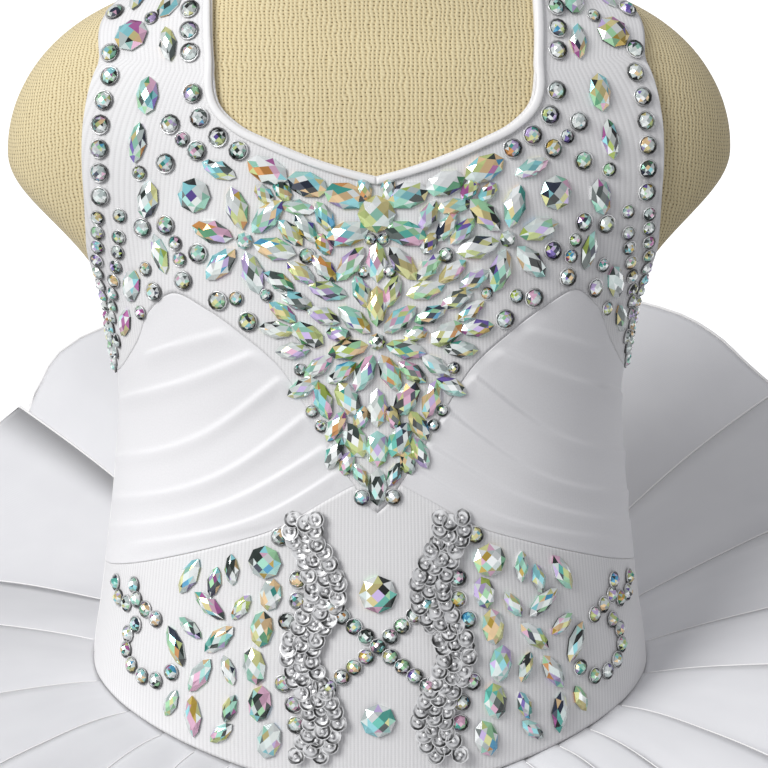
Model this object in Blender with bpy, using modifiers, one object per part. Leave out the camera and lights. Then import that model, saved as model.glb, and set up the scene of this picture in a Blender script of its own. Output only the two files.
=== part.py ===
"""Toddler's pageant dress on a limbless tabletop dress form.

A white halter dress with a V neck, a stone-set yoke, pleated midriff sides and a corded basque, over a
skirt of three gathered ruffles that stand out like a cupcake's paper. The form has a jersey-covered torso
with short shoulder stubs, and stands on a pole and a round base. All sizes are in millimetres until the
last step, which turns them to metres. The front faces -Y, +X is on the right of a viewer who faces the
front, and the origin is on the floor under the pole. An angle is counted in degrees round the body from
centre front, and a girth is that angle's length round a body of mean radius.
"""

import math
from collections import namedtuple

import bmesh
import bpy
import numpy as np
from mathutils import Matrix, Vector
from mathutils.geometry import delaunay_2d_cdt

MM = 0.001
GIRTH = 1.4  # millimetres round the body for a degree

# The cloth and its gaps
CLEAR = 1.0  # from the form to the inside of the cloth
WALL = 1.4  # thickness of a bodice panel
OUTSIDE = CLEAR + WALL
SEAM_GAP = 0.2  # each panel stops this far short of its seam line
LAY_GAP = 0.4  # under what lies on a panel
RUFFLE_WALL = 1.2
BINDING_WIDTH = 3.0
BINDING_WALL = 0.8
EDGE_STEP = 8.0  # between two points of a curved outline
LONGEST_SIDE = 9.6  # and of a straight one
OUTER_STEP = 13.0  # between the points of a panel's outer face
INNER_STEP = 12.0  # and of its plain inside
ROW_STEP = 0.87  # between the rows of those points, as a share of their step
OFF_EDGE = 0.4  # and how far they keep from an outline
OFF_STONE = 0.36  # and from a stone or a pleat

# The form's torso, a row for each section: its half width and how deep it is before and behind the axis
Section = namedtuple("Section", "height half_width front back")
BODY = (
    Section(252, 78, 58, 60),
    Section(266, 89, 67, 68),
    Section(285, 94, 72, 71),
    Section(310, 96, 75, 70),
    Section(335, 95, 75.5, 66),
    Section(352, 92.5, 75, 63),
    Section(372, 90, 73, 60),
    Section(400, 87, 70, 57.5),
    Section(428, 85.5, 67, 57),
    Section(455, 89, 65, 59),
    Section(480, 94, 62, 60.5),
    Section(505, 96, 58.5, 60),
    Section(530, 94.5, 53, 56),
    Section(550, 89, 45.5, 49.5),
    Section(562, 80, 39.5, 44),
    Section(573, 65, 35, 39.5),
    Section(583, 49, 32.5, 36),
    Section(593, 39, 31.5, 33.5),
    Section(606, 35.5, 31.5, 32),
    Section(620, 35, 31.5, 31.5),
)
SQUARENESS = 2.3  # power of the sections' rounded outline; 2 would be an ellipse
STUB_CENTRE = (76.0, 2.0, 512.0)
STUB_RADII = (49.0, 36.0, 49.0)
STUB_SCALE = 42.0
STUB_END = (0.56, -0.83, 36.5)  # slope and distance of the plane that ends a shoulder stub
STUB_END_ROUND = 9.0
STUB_ROOT_ROUND = 16.0
TORSO_ROWS = (
    252, 265, 287, 312, 335, 353, 370, 385, 400, 414, 428, 443, 455, 462, 467, 475, 490, 508, 526, 542,
    553, 561, 569, 577, 585, 594, 606, 620,
)
TORSO_HALF_ANGLES = (0, 17, 33, 47, 57, 64, 69, 73, 78, 86, 95, 103, 110, 122, 140, 160)

# The stand: turned pieces as profiles from the axis down the outside and back, with heights over the
# floor for the base, under the form for the collar, and over the neck for the cap
Turn = namedtuple("Turn", "radius height")
BASE_PROFILE = (
    Turn(0, 15), Turn(19.8, 15), Turn(106.2, 10), Turn(115, 8.5), Turn(118, 5.5), Turn(118, 1.5),
    Turn(116.5, 0), Turn(0, 0),
)
COLLAR_PROFILE = (Turn(0, 0), Turn(24, 0), Turn(24, -4), Turn(17.28, -8), Turn(14.4, -12), Turn(0, -12))
CAP_PROFILE = (
    Turn(0, 13), Turn(14.6, 12), Turn(27.4, 9), Turn(34.7, 5.5), Turn(36.5, 3), Turn(35, 0), Turn(0, 0),
)
POLE_RADIUS = 11.0
POLE_SIDES = 28
STAND_GAP = 0.3

# Seam lines of the right half: angle from centre front, and height
Line = namedtuple("Line", "angle height")
NECKLINE = (
    Line(0, 515.8), Line(9, 518.2), Line(19, 521.4), Line(33.5, 527.5), Line(42, 532), Line(48, 538),
    Line(51.9, 548),
)
ARMHOLE = (
    Line(74.2, 548), Line(72.2, 532), Line(71, 516), Line(71, 501), Line(72.5, 488), Line(77, 472),
    Line(84, 457), Line(92, 447),
)
YOKE_TIP = (Line(0, 402.5), Line(3, 406), Line(6.3, 412.2))
YOKE_LOWER = (
    Line(6.3, 412.2), Line(9, 417), Line(17.5, 434), Line(27, 452), Line(36, 461.5), Line(46, 470),
    Line(54, 474), Line(60, 467), Line(66, 453), Line(76, 441), Line(92, 434),
)
BASQUE_TOP = (
    Line(6.3, 412.2), Line(14, 406.6), Line(27, 396), Line(38, 390), Line(50, 383.5), Line(66, 375),
    Line(78, 369.5), Line(92, 364),
)
BACK_TOP = (Line(92, 447), Line(104, 441), Line(125, 438), Line(150, 437), Line(180, 436.5))
SIDE_ANGLE = 92
WAIST_SEAM = 331.5  # height of the skirt seam at the sides and back
WAIST_DIP = 25.0  # how much lower it is at centre front

# Pleats of a midriff side: from the yoke to the side seam, each standing out by its depth
Pleat = namedtuple("Pleat", "start middle end depth")
PLEATS = (
    Pleat(Line(41, 463), Line(52, 457), Line(63, 450), 1.5),
    Pleat(Line(34, 456), Line(52, 443.5), Line(88, 424), 1.9),
    Pleat(Line(27, 447.5), Line(46, 426.5), Line(88, 403.5), 2.1),
    Pleat(Line(20, 435.5), Line(41, 413.5), Line(88, 389), 2.0),
    Pleat(Line(15, 424.5), Line(37, 405.5), Line(88, 378), 1.8),
    Pleat(Line(11.5, 416), Line(28, 402), Line(66, 382), 1.3),
)
PLEAT_DROP = 2.4  # from a pleat's edge down to its foot
PLEAT_POINTS = 7
PLEAT_END = 0.35  # height of a pleat's ends, as a share of its depth
PLEAT_SWELL = 2.6  # how soon it stands at its full depth

# Stones that stand out of the cloth, a row for each: place as girth and height, size, and turn in degrees
Stone = namedtuple("Stone", "shape girth height length width turn rise")
ROUND, OVAL, LEAF = "round", "oval", "leaf"
STONE_TABLE = 0.45  # a stone's flat top, as a share of its foot
LEAF_SHOULDER = 0.45  # share of a leaf's half length that has its full width
LEAF_RIDGE = 0.42  # and share that its ridge takes
CENTRE_STONES = (
    Stone(ROUND, 0, 503.5, 12.8, 12.8, 0, 3.4),
    Stone(LEAF, 0, 487.5, 14, 7.5, 90, 2.6),
    Stone(OVAL, 0, 411.5, 12.8, 6.5, 90, 2.8),
    Stone(OVAL, 0, 424.5, 12.6, 8, 90, 2.8),
    Stone(LEAF, 0, 438.5, 13.6, 7.3, 90, 2.6),
)
HALF_STONES = (
    Stone(OVAL, 13.5, 509.5, 15, 9, 12, 3.0),
    Stone(OVAL, 12.5, 497, 15, 8.4, -14, 3.0),
    Stone(LEAF, 11, 487, 14.6, 7.2, -52, 2.6),
    Stone(OVAL, 30, 513.2, 14, 8.6, 16, 3.0),
    Stone(OVAL, 46, 517.5, 15, 9, 24, 3.0),
    Stone(LEAF, 33, 505.5, 11.8, 5.8, 8, 2.4),
    Stone(ROUND, 70, 508, 11.8, 11.8, 0, 3.2),
    Stone(LEAF, 63, 517, 13, 6.4, 20, 2.4),
    Stone(OVAL, 89, 539.5, 13, 7.8, 90, 2.8),
    Stone(LEAF, 88, 524, 14, 6.6, 96, 2.4),
    Stone(OVAL, 84, 505, 13, 7.8, 100, 2.6),
    Stone(LEAF, 80, 487, 14, 6.6, 70, 2.4),
    Stone(OVAL, 91, 474, 13, 7.8, 112, 2.6),
    Stone(LEAF, 97, 459.5, 13, 6.6, 122, 2.4),
    Stone(LEAF, 20, 478, 13.6, 6.8, 14, 2.4),
    Stone(OVAL, 27.4, 463.2, 12.6, 7.4, 30, 2.8),
    Stone(LEAF, 23, 452.5, 12, 6, -38, 2.6),
    Stone(OVAL, 11.5, 441.5, 13.3, 7.7, 62, 2.8),
    Stone(LEAF, 21, 441, 13.8, 6.8, 74, 2.4),
    Stone(OVAL, 8.6, 427.5, 13, 7.7, 66, 2.6),
    Stone(LEAF, 6.6, 415.8, 9.5, 4.8, 62, 2.2),
    Stone(LEAF, 37, 470.5, 11.3, 5.6, 34, 2.4),
)
Flower = namedtuple("Flower", "girth height petals reach length width first_turn")
HALF_FLOWER = Flower(52, 494, 6, 11.2, 15, 8, 12)
CENTRE_FLOWER = Flower(0, 461, 7, 11.8, 14, 7.2, 90)
FLOWER_EYE = 5.8
FLOWER_RISE = 3.0

BASQUE_CENTRE_STONES = (
    Stone(ROUND, 0, 375, 13, 13, 0, 3.4),
    Stone(ROUND, 0, 331, 12, 12, 0, 3.2),
)
BASQUE_HALF_STONES = (
    Stone(ROUND, 40, 385, 11.6, 11.6, 0, 3.2),
    Stone(OVAL, 37.5, 374, 11.4, 7.6, 100, 2.8),
    Stone(OVAL, 40, 362, 12.8, 8, 96, 2.8),
    Stone(OVAL, 42, 349, 13.2, 8.2, 82, 2.8),
    Stone(OVAL, 40, 336, 13.2, 8.2, 98, 2.8),
    Stone(OVAL, 37, 323, 13.6, 8.4, 104, 2.8),
    Stone(LEAF, 66, 377, 15, 6.7, -62, 2.6),
    Stone(LEAF, 58, 368, 14.4, 6.4, 34, 2.6),
    Stone(LEAF, 54, 357, 14.6, 6.8, -44, 2.6),
    Stone(LEAF, 69, 352, 15, 6.8, 62, 2.6),
    Stone(LEAF, 60, 343.5, 15, 6.8, -58, 2.6),
    Stone(LEAF, 62, 328.5, 15, 6.8, 88, 2.6),
)

# A strap's two edges over the shoulder, right half, and its stones as length along and distance across
Guide = namedtuple("Guide", "x y z")
STRAP_INNER = (
    Guide(53.5, -42, 548), Guide(54, -35, 559), Guide(52.5, -22, 571), Guide(50, -4, 578),
    Guide(46, 14, 581), Guide(36, 29, 586), Guide(20, 36, 592), Guide(0.6, 36, 596),
)
STRAP_OUTER = (
    Guide(92, -26, 548), Guide(91, -13, 559), Guide(83, -2, 566), Guide(72, 10, 571), Guide(60, 26, 571),
    Guide(42, 41, 569), Guide(22, 46, 571), Guide(0.6, 47, 574),
)
STRAP_LENGTH = 135.0
STRAP_WIDTH = 36.0
STRAP_STONES = (
    Stone(ROUND, 11, 25, 12, 12, 0, 3.2),
    Stone(LEAF, 9, 13.6, 13, 6.4, 4, 2.4),
    Stone(OVAL, 25, 14, 13, 7.6, -24, 2.6),
    Stone(LEAF, 27, 27, 13, 6.4, 10, 2.4),
    Stone(OVAL, 42, 19, 13, 7.6, 14, 2.6),
)

# Ruffles of the skirt, from the top, with the angles between the folds of one half. A row of a ruffle:
# how far it reaches from the body and how high it is over the seam at the front, the sides and the back,
# how high its folds stand, and how far they tuck under
Reach = namedtuple("Reach", "front_out front_rise side_out side_rise back_out back_rise fold tuck")
Ruffle = namedtuple("Ruffle", "name edges start rows crests profile")
# A fold's outline: share of its width, height, and how far the point moves where folds tuck under each other
Bend = namedtuple("Bend", "share height tuck")
FOLD = (
    Bend(0.04, -1.0, -0.08), Bend(0.16, -0.42, 0), Bend(0.36, 0.28, 0), Bend(0.6, 0.76, 0),
    Bend(0.82, 1.0, 0.02), Bend(0.96, 0.86, 0.07),
)
SLIM_FOLD = (
    Bend(0.05, -1.0, -0.06), Bend(0.22, -0.25, 0), Bend(0.5, 0.58, 0), Bend(0.8, 1.0, 0),
    Bend(0.95, 0.82, 0.05),
)
# The fold of the top ruffle that stands up on the left as a round lobe, and its place from the front
LOBE_FOLD = (
    Bend(0.03, -1.0, -0.1), Bend(0.1, -0.3, -0.08), Bend(0.22, 0.5, -0.03), Bend(0.42, 1.0, 0),
    Bend(0.75, 1.05, 0.02), Bend(0.96, 0.86, 0.07),
)
LOBE_PLACE = 11
RUFFLES = (
    Ruffle("ruffle_top", (0, 10, 19, 28, 36, 44, 52, 62, 76, 97, 119, 139, 160, 180), 1.8, (
        Reach(1.1, 0, 1.1, 0, 1.1, 0, 0.3, 0),
        Reach(9, -4.5, 10, 0, 10, 2, 1.5, 0.3),
        Reach(34, -27, 40, 0, 38, 10, 4.2, 0.8),
        Reach(74, -72, 92, -2, 86, 27, 8, 1),
        Reach(120, -128, 180, -24, 165, 56, 13, 1),
    ), 8.0, FOLD),
    Ruffle("ruffle_middle", (0, 14, 28, 42, 57, 73, 90, 108, 126, 144, 162, 180), 5.2, (
        Reach(1.1, 0, 1.1, 0, 1.1, 0, 0.3, 0),
        Reach(9, -10, 12, -5, 12, -3, 1.4, 0.3),
        Reach(50, -70, 80, -24, 80, 2, 7, 1),
        Reach(94, -140, 160, -74, 158, 2, 12, 1),
    ), 7.0, SLIM_FOLD),
    Ruffle("ruffle_lower", (0, 18, 36, 54, 72, 90, 108, 126, 144, 162, 180), 8.4, (
        Reach(1.1, 0, 1.1, 0, 1.1, 0, 0.3, 0),
        Reach(14, -24, 22, -18, 24, -13, 2, 0.5),
        Reach(66, -150, 130, -118, 135, -68, 11, 1),
    ), 5.0, SLIM_FOLD),
)
STATIONS = (30.0, 90.0, 150.0)  # angles where a ruffle has its front, side and back slope
MEAN_FOLD = 14.0  # degrees; a wider fold stands higher than its row says, and a narrower one lower
FIRST_SHARE = 0.12  # the fold at centre front starts this far from the middle
# How a fold differs from its neighbours: share, pace from fold to fold, and how the left differs from the
# right
Sway = namedtuple("Sway", "share pace side")
FOLD_SWAY = (Sway(0.22, 2.3, -0.7), Sway(0.1, 5.1, -1.0))
LEAN_SWAY = Sway(0.08, 1.7, 1.0)
# Behind this angle the folds sit nearer the front on the right half and further back on the left, by so many
# degrees at most
SHIFT_START = 76.0
SIDE_SHIFT = 5.0
# How much higher the skirt lies on the right than at the front and back at so far from the body, and lower on
# the left
SIDE_LIFT = 11.0
LIFT_REACH = 180.0
# The lobe starts so many degrees further back, the fold before it keeps this share of its height, and the
# skirt dips there: by so much at most at the same reach, at this angle, over this many degrees
LOBE_SHIFT = 4.0
LOW_FOLD = 0.35
LEFT_DIP = 62.0
DIP_ANGLE = -128.0
DIP_WIDTH = 19.0
Flare = namedtuple("Flare", "out rise")
UNDERSKIRT = (Flare(2.1, 0), Flare(5, -14), Flare(18, -62), Flare(38, -124))
UNDERSKIRT_START = 13.4
UNDERSKIRT_COLUMNS = 36
BASQUE_HEM_STEP = 5.75  # degrees
BACK_HEM_POINTS = 14

# Back fastening
PLACKET_HALF_ANGLE = 6.5
PLACKET_ENDS = (1.0, 0.5)  # short of the waist seam, and of the back's top
BUTTON_ENDS = (9.0, 8.0)  # from those ends to the lowest and the highest button
BACK_BUTTONS = 6
BUTTON_RADIUS = 4.6
BUTTON_RISE = 3.0
TAB_LENGTH = 13.0
TAB_WALL = 1.4
TAB_LENGTHS = (-12.0, -8.0, -4.0, 4.0, 8.0, 12.0)
TAB_INSET = 5.0  # from a strap's edge

# Colour as linear red, green and blue, roughness and metallic of each material
Finish = namedtuple("Finish", "colour roughness metallic")
FINISHES = {
    "white_satin": Finish((0.86, 0.86, 0.87), 0.45, 0.0),
    "white_chiffon": Finish((0.84, 0.84, 0.86), 0.6, 0.0),
    "white_organza": Finish((0.80, 0.81, 0.86), 0.5, 0.0),
    "linen_jersey": Finish((0.68, 0.55, 0.36), 0.9, 0.0),
    "beech_wood": Finish((0.55, 0.36, 0.19), 0.5, 0.0),
    "brushed_steel": Finish((0.6, 0.6, 0.61), 0.35, 1.0),
}


def column(heights, index):
    """Smooth cubic through one column of the torso's table."""
    table = np.array(BODY)
    at, value = table[:, 0], table[:, index]
    slope = np.gradient(value, at)
    row = np.clip(np.searchsorted(at, heights) - 1, 0, len(at) - 2)
    step = at[row + 1] - at[row]
    t = np.clip((heights - at[row]) / step, 0, 1)
    return (
        (2 * t**3 - 3 * t**2 + 1) * value[row]
        + (t**3 - 2 * t**2 + t) * step * slope[row]
        + (3 * t**2 - 2 * t**3) * value[row + 1]
        + (t**3 - t**2) * step * slope[row + 1]
    )


def soft_least(a, b, width):
    """The lesser of two values, rounded over where they meet."""
    share = np.clip(0.5 + 0.5 * (b - a) / width, 0, 1)
    return b * (1 - share) + a * share - width * share * (1 - share)


def form(points):
    """Below zero inside the form's torso and stubs, above zero outside."""
    x, y, z = np.abs(points[..., 0]), points[..., 1], points[..., 2]
    wide, front, back = column(z, 1), column(z, 2), column(z, 3)
    deep = np.where(y < 0, front, back)
    oval = ((x / wide) ** SQUARENESS + np.abs(y / deep) ** SQUARENESS) ** (1 / SQUARENESS)
    torso = (oval - 1) * np.minimum(wide, (front + back) / 2)
    parts = [(axis - middle) / radius for axis, middle, radius in zip((x, y, z), STUB_CENTRE, STUB_RADII)]
    ball = (np.sqrt(sum(part**2 for part in parts)) - 1) * STUB_SCALE
    end = (x - STUB_CENTRE[0]) * STUB_END[0] + (z - STUB_CENTRE[2]) * STUB_END[1] - STUB_END[2]
    stub = -soft_least(-ball, -end, STUB_END_ROUND)
    return soft_least(torso, stub, STUB_ROOT_ROUND)


def slope_of_form(points):
    """How the form's value changes along each axis, by small steps."""
    step = 0.05
    shifts = np.eye(3) * step
    return np.stack([(form(points + s) - form(points - s)) / (2 * step) for s in shifts], axis=-1)


def distance(points):
    """Distance from the form's surface, from its value and slope."""
    return form(points) / np.linalg.norm(slope_of_form(points), axis=-1)


def on_body(angles, heights, lift):
    """Points at these angles and heights, lifted off the form: a halving search along each level ray."""
    angles, heights, lift = np.broadcast_arrays(
        np.asarray(angles, float), np.asarray(heights, float), np.asarray(lift, float)
    )
    ray = outward(angles)
    level = heights[..., None] * (0.0, 0.0, 1.0)
    near, far = np.full(angles.shape, 20.0), np.full(angles.shape, 150.0)
    for _ in range(36):
        middle = (near + far) / 2
        outside = distance(level + ray * middle[..., None]) > lift
        near, far = np.where(outside, near, middle), np.where(outside, middle, far)
    return level + ray * ((near + far) / 2)[..., None]


def settle(points, lift):
    """Points moved along the form's slope until they stand off it by their lift."""
    for _ in range(12):
        slope = slope_of_form(points)
        length = np.linalg.norm(slope, axis=-1, keepdims=True)
        short = (form(points) / length[..., 0] - lift)[..., None]
        points = points - short * slope / length
    return points


def through(rows, share):
    """Points at these shares of the length of a smooth curve through the rows."""
    rows = np.array(rows, float)
    runs = np.linalg.norm(np.diff(rows, axis=0), axis=1)
    at = np.concatenate([[0], np.cumsum(runs)]) / runs.sum()
    slope = np.gradient(rows, at, axis=0)
    row = np.clip(np.searchsorted(at, share) - 1, 0, len(at) - 2)
    step = (at[row + 1] - at[row])[:, None]
    t = ((share - at[row]) / step[:, 0])[:, None]
    return (
        (2 * t**3 - 3 * t**2 + 1) * rows[row]
        + (t**3 - 2 * t**2 + t) * step * slope[row]
        + (3 * t**2 - 2 * t**3) * rows[row + 1]
        + (t**3 - t**2) * step * slope[row + 1]
    )


def seam_line(rows):
    """A seam line as girth and height, with points no further apart than the edge step."""
    flat = np.array([(row.angle * GIRTH, row.height) for row in rows])
    length = np.linalg.norm(np.diff(flat, axis=0), axis=1).sum()
    return through(flat, np.linspace(0, 1, max(2, math.ceil(length / EDGE_STEP) + 1)))


def seam_height(angle):
    """Height of the seam between bodice and skirt: level behind, dipping to the front."""
    dip = np.cos(np.radians(angle)) * (np.abs(angle) < 90)
    return WAIST_SEAM - WAIST_DIP * dip**2


def mirrored(line):
    """A line of the right half turned to the left half."""
    return line * (-1, 1)


def joined(*lines):
    """Lines end to end as one closed outline, without the points that they share and with no long side."""
    points = []
    for point in np.concatenate(lines):
        if not points or math.dist(points[-1], point) > 0.01:
            points.append(point)
    if math.dist(points[0], points[-1]) < 0.01:
        points.pop()
    outline = []
    for start, end in zip(points, points[1:] + points[:1]):
        parts = math.ceil(math.dist(start, end) / LONGEST_SIDE)
        outline += [start + (end - start) * part / parts for part in range(parts)]
    return np.array(outline)


def area_of(outline):
    """Signed area of a flat outline, positive where it runs anticlockwise."""
    following = np.roll(outline, -1, axis=0)
    return 0.5 * (outline[:, 0] * following[:, 1] - following[:, 0] * outline[:, 1]).sum()


def drawn_in(outline, amount):
    """The outline, anticlockwise, with each side moved inwards by the same amount."""
    if area_of(outline) < 0:
        outline = outline[::-1]
    before = outline - np.roll(outline, 1, axis=0)
    after = np.roll(outline, -1, axis=0) - outline
    before /= np.linalg.norm(before, axis=1, keepdims=True)
    after /= np.linalg.norm(after, axis=1, keepdims=True)
    left_before = np.stack([-before[:, 1], before[:, 0]], axis=1)
    left_after = np.stack([-after[:, 1], after[:, 0]], axis=1)
    across = left_before + left_after
    across /= np.maximum(1 + (left_before * left_after).sum(axis=1, keepdims=True), 0.25)
    return outline + across * amount


def inside(points, outline):
    """Which points lie inside a flat outline."""
    start, end = outline, np.roll(outline, -1, axis=0)
    x, y = points[:, 0:1], points[:, 1:2]
    spans = (start[:, 1] > y) != (end[:, 1] > y)
    height = np.where(end[:, 1] == start[:, 1], 1, end[:, 1] - start[:, 1])
    cross = start[:, 0] + (y - start[:, 1]) / height * (end[:, 0] - start[:, 0])
    return (spans & (x < cross)).sum(axis=1) % 2 == 1


def filling(outline, taken, step):
    """A grid of points inside an outline, kept apart from it and from the points already taken."""
    low, high = outline.min(axis=0), outline.max(axis=0)
    points = []
    for row, y in enumerate(np.arange(low[1] + step / 2, high[1], step * ROW_STEP)):
        for x in np.arange(low[0] + step * (0.25 + 0.5 * (row % 2)), high[0], step):
            points.append((x, y))
    points = np.array(points)
    points = points[inside(points, outline)]
    edge = np.concatenate([outline, (outline + np.roll(outline, -1, axis=0)) / 2])
    near_edge = np.linalg.norm(points[:, None] - edge[None], axis=-1).min(axis=1) < step * OFF_EDGE
    points = points[~near_edge]
    if len(taken):
        near = np.linalg.norm(points[:, None] - np.array(taken)[None], axis=-1).min(axis=1)
        points = points[near > step * OFF_STONE]
    return points


def stone_points(stone):
    """A stone's foot ring and top points about its own place, before it is turned."""
    half, side = stone.length / 2, stone.width / 2
    if stone.shape == LEAF:
        shoulder = half * LEAF_SHOULDER
        right, left = [(half, 0), (shoulder, side)], [(-shoulder, side), (-half, 0), (-shoulder, -side)]
        foot = right + left + [(shoulder, -side)]
        top = [(half * LEAF_RIDGE, 0), (-half * LEAF_RIDGE, 0)]
    else:
        corners = 8 if stone.shape == ROUND else 7
        angles = np.arange(corners) * 2 * math.pi / corners
        foot = [(half * math.cos(a), side * math.sin(a)) for a in angles]
        half, side = half * STONE_TABLE, side * STONE_TABLE
        top = [(half * math.cos(a), side * math.sin(a)) for a in angles[::2] + angles[1] / 2]
        top = top[:4] if stone.shape == ROUND else top[:3]
    return foot, top


def turned(points, stone):
    """A stone's points turned and moved to its place on the panel."""
    turn = math.radians(stone.turn)
    cosine, sine = math.cos(turn), math.sin(turn)
    return [
        (stone.girth + x * cosine - y * sine, stone.height + x * sine + y * cosine) for x, y in points
    ]


def panel(name, outline, place, stones, pleats, finish):
    """A cloth panel as one closed wall: a plain inside, and an outside that rises in stones and pleats."""
    outline = drawn_in(outline, SEAM_GAP)
    count = len(outline)
    flat = [tuple(p) for p in outline]
    lifts = [OUTSIDE] * count
    edges = []
    for stone in stones:
        foot, top = stone_points(stone)
        start = len(flat)
        flat += turned(foot, stone)
        lifts += [OUTSIDE] * len(foot)
        edges += [(start + i, start + (i + 1) % len(foot)) for i in range(len(foot))]
        crown = len(flat)
        flat += turned(top, stone)
        lifts += [OUTSIDE + stone.rise] * len(top)
        edges += [(crown + i, crown + (i + 1) % len(top)) for i in range(len(top) if len(top) > 2 else 1)]
    for pleat, side in pleats:
        share = np.linspace(0, 1, PLEAT_POINTS)
        rows = [(p.angle * GIRTH * side, p.height) for p in pleat[:3]]
        crest = through(rows, share)
        height = pleat.depth * np.minimum(1, PLEAT_END + PLEAT_SWELL * np.sin(math.pi * share) ** 0.8)
        for line, rise in ((crest, height), (crest - (0, PLEAT_DROP), height * 0)):
            start = len(flat)
            flat += [tuple(p) for p in line]
            lifts += list(OUTSIDE + rise)
            edges += [(start + i, start + i + 1) for i in range(PLEAT_POINTS - 1)]
    taken = flat[count:]
    extra = filling(outline, taken, OUTER_STEP)
    flat += [tuple(p) for p in extra]
    lifts += [OUTSIDE] * len(extra)
    outer, outer_faces = triangles(flat, edges, count)
    inner_flat = [tuple(p) for p in outline] + [tuple(p) for p in filling(outline, [], INNER_STEP)]
    inner, inner_faces = triangles(inner_flat, [], count)
    lifts = np.array(lifts)[outer]
    outer_points = place(np.array(flat)[outer], lifts)
    inner_points = place(np.array(inner_flat)[inner], np.full(len(inner), CLEAR))
    places = np.concatenate([outer_points, inner_points])
    shift = len(outer_points)
    faces = outer_faces + [[shift + i for i in reversed(face)] for face in inner_faces]
    for i in range(count):
        j = (i + 1) % count
        faces.append([j, i, shift + i, shift + j])
    return solid(name, places, faces, finish)


def triangles(flat, edges, count):
    """Triangles over flat points, inside the outline that the first of them make and along the given
    edges."""
    result = delaunay_2d_cdt([Vector(p) for p in flat], edges, [list(range(count))], 1, 1e-5)
    origin = [ids[0] for ids in result[3]]
    if sorted(origin) != list(range(len(flat))):
        raise ValueError("points of a panel meet or fall outside it")
    back = {old: new for new, old in enumerate(origin)}
    faces = [[origin[i] for i in face] for face in result[2]]
    return list(range(len(back))), faces


def solid(name, places, faces, finish):
    """A closed mesh object with its faces pointing out and its own material."""
    mesh = bpy.data.meshes.new(name)
    mesh.from_pydata([tuple(p) for p in np.asarray(places) * MM], [], faces)
    shell = bmesh.new()
    shell.from_mesh(mesh)
    bmesh.ops.recalc_face_normals(shell, faces=shell.faces)
    if shell.calc_volume(signed=True) < 0:
        bmesh.ops.reverse_faces(shell, faces=shell.faces)
    shell.to_mesh(mesh)
    shell.free()
    mesh.materials.append(material(finish))
    thing = bpy.data.objects.new(name, mesh)
    dress.objects.link(thing)
    return thing


def material(finish):
    """The named finish as a Principled material, made once."""
    if finish in bpy.data.materials:
        return bpy.data.materials[finish]
    made = bpy.data.materials.new(finish)
    made.use_nodes = True
    shader = made.node_tree.nodes["Principled BSDF"]
    look = FINISHES[finish]
    shader.inputs["Base Color"].default_value = (*look.colour, 1)
    shader.inputs["Roughness"].default_value = look.roughness
    shader.inputs["Metallic"].default_value = look.metallic
    return made


def on_bodice(flat, lift):
    """Place of a bodice panel's points, given as girth and height."""
    return on_body(flat[:, 0] / GIRTH, flat[:, 1], lift)


def on_strap(side):
    """Place of a strap's points, given as length along it and distance across it."""

    def place(flat, lift):
        share = flat[:, 0] / STRAP_LENGTH
        across = (flat[:, 1] / STRAP_WIDTH)[:, None]
        points = through(STRAP_INNER, share) * (1 - across) + through(STRAP_OUTER, share) * across
        points = settle(points, lift)
        return points * (side, 1, 1)

    return place


def lofted(name, sections, finish):
    """Sections of like count joined one to the next, with both ends closed."""
    sections = np.array(sections)
    rows, count = sections.shape[:2]
    faces = []
    for row in range(rows - 1):
        for i in range(count):
            j = (i + 1) % count
            faces.append([row * count + i, row * count + j, (row + 1) * count + j, (row + 1) * count + i])
    faces.append(list(range(count))[::-1])
    faces.append([(rows - 1) * count + i for i in range(count)])
    return solid(name, sections.reshape(-1, 3), faces, finish)


def turned_piece(name, profile, finish, steps=32):
    """A closed turned solid: its profile, from the axis at the top down the outside to the axis, spun
    round Z."""
    mesh = bpy.data.meshes.new(name)
    edges = [(i, i + 1) for i in range(len(profile) - 1)]
    mesh.from_pydata([(r * MM, 0, z * MM) for r, z in profile], edges, [])
    mesh.materials.append(material(finish))
    thing = bpy.data.objects.new(name, mesh)
    dress.objects.link(thing)
    spin = thing.modifiers.new("turned", "SCREW")
    spin.steps = steps
    spin.render_steps = steps
    spin.use_merge_vertices = True
    spin.merge_threshold = 0.00005
    spin.use_smooth_shade = True
    return thing


def dome(radius, rise, foot):
    """Profile of a low dome on a flat foot, from its top down to the middle of the foot."""
    arc = [(radius * math.sin(a), foot + rise * math.cos(a)) for a in np.radians((0, 34, 66))]
    return arc + [(radius, foot), (0, foot - 0.001 * rise)]


def make_torso():
    """The form's torso with its neck and stubs, as a loft of level rings."""
    half = list(TORSO_HALF_ANGLES)
    angles = half + [180] + [360 - a for a in reversed(half[1:])]
    rings = on_body(np.array(angles)[None, :], np.array(TORSO_ROWS, float)[:, None], 0)
    torso = lofted("form_torso", rings, "linen_jersey")
    torso.data.shade_smooth()


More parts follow.
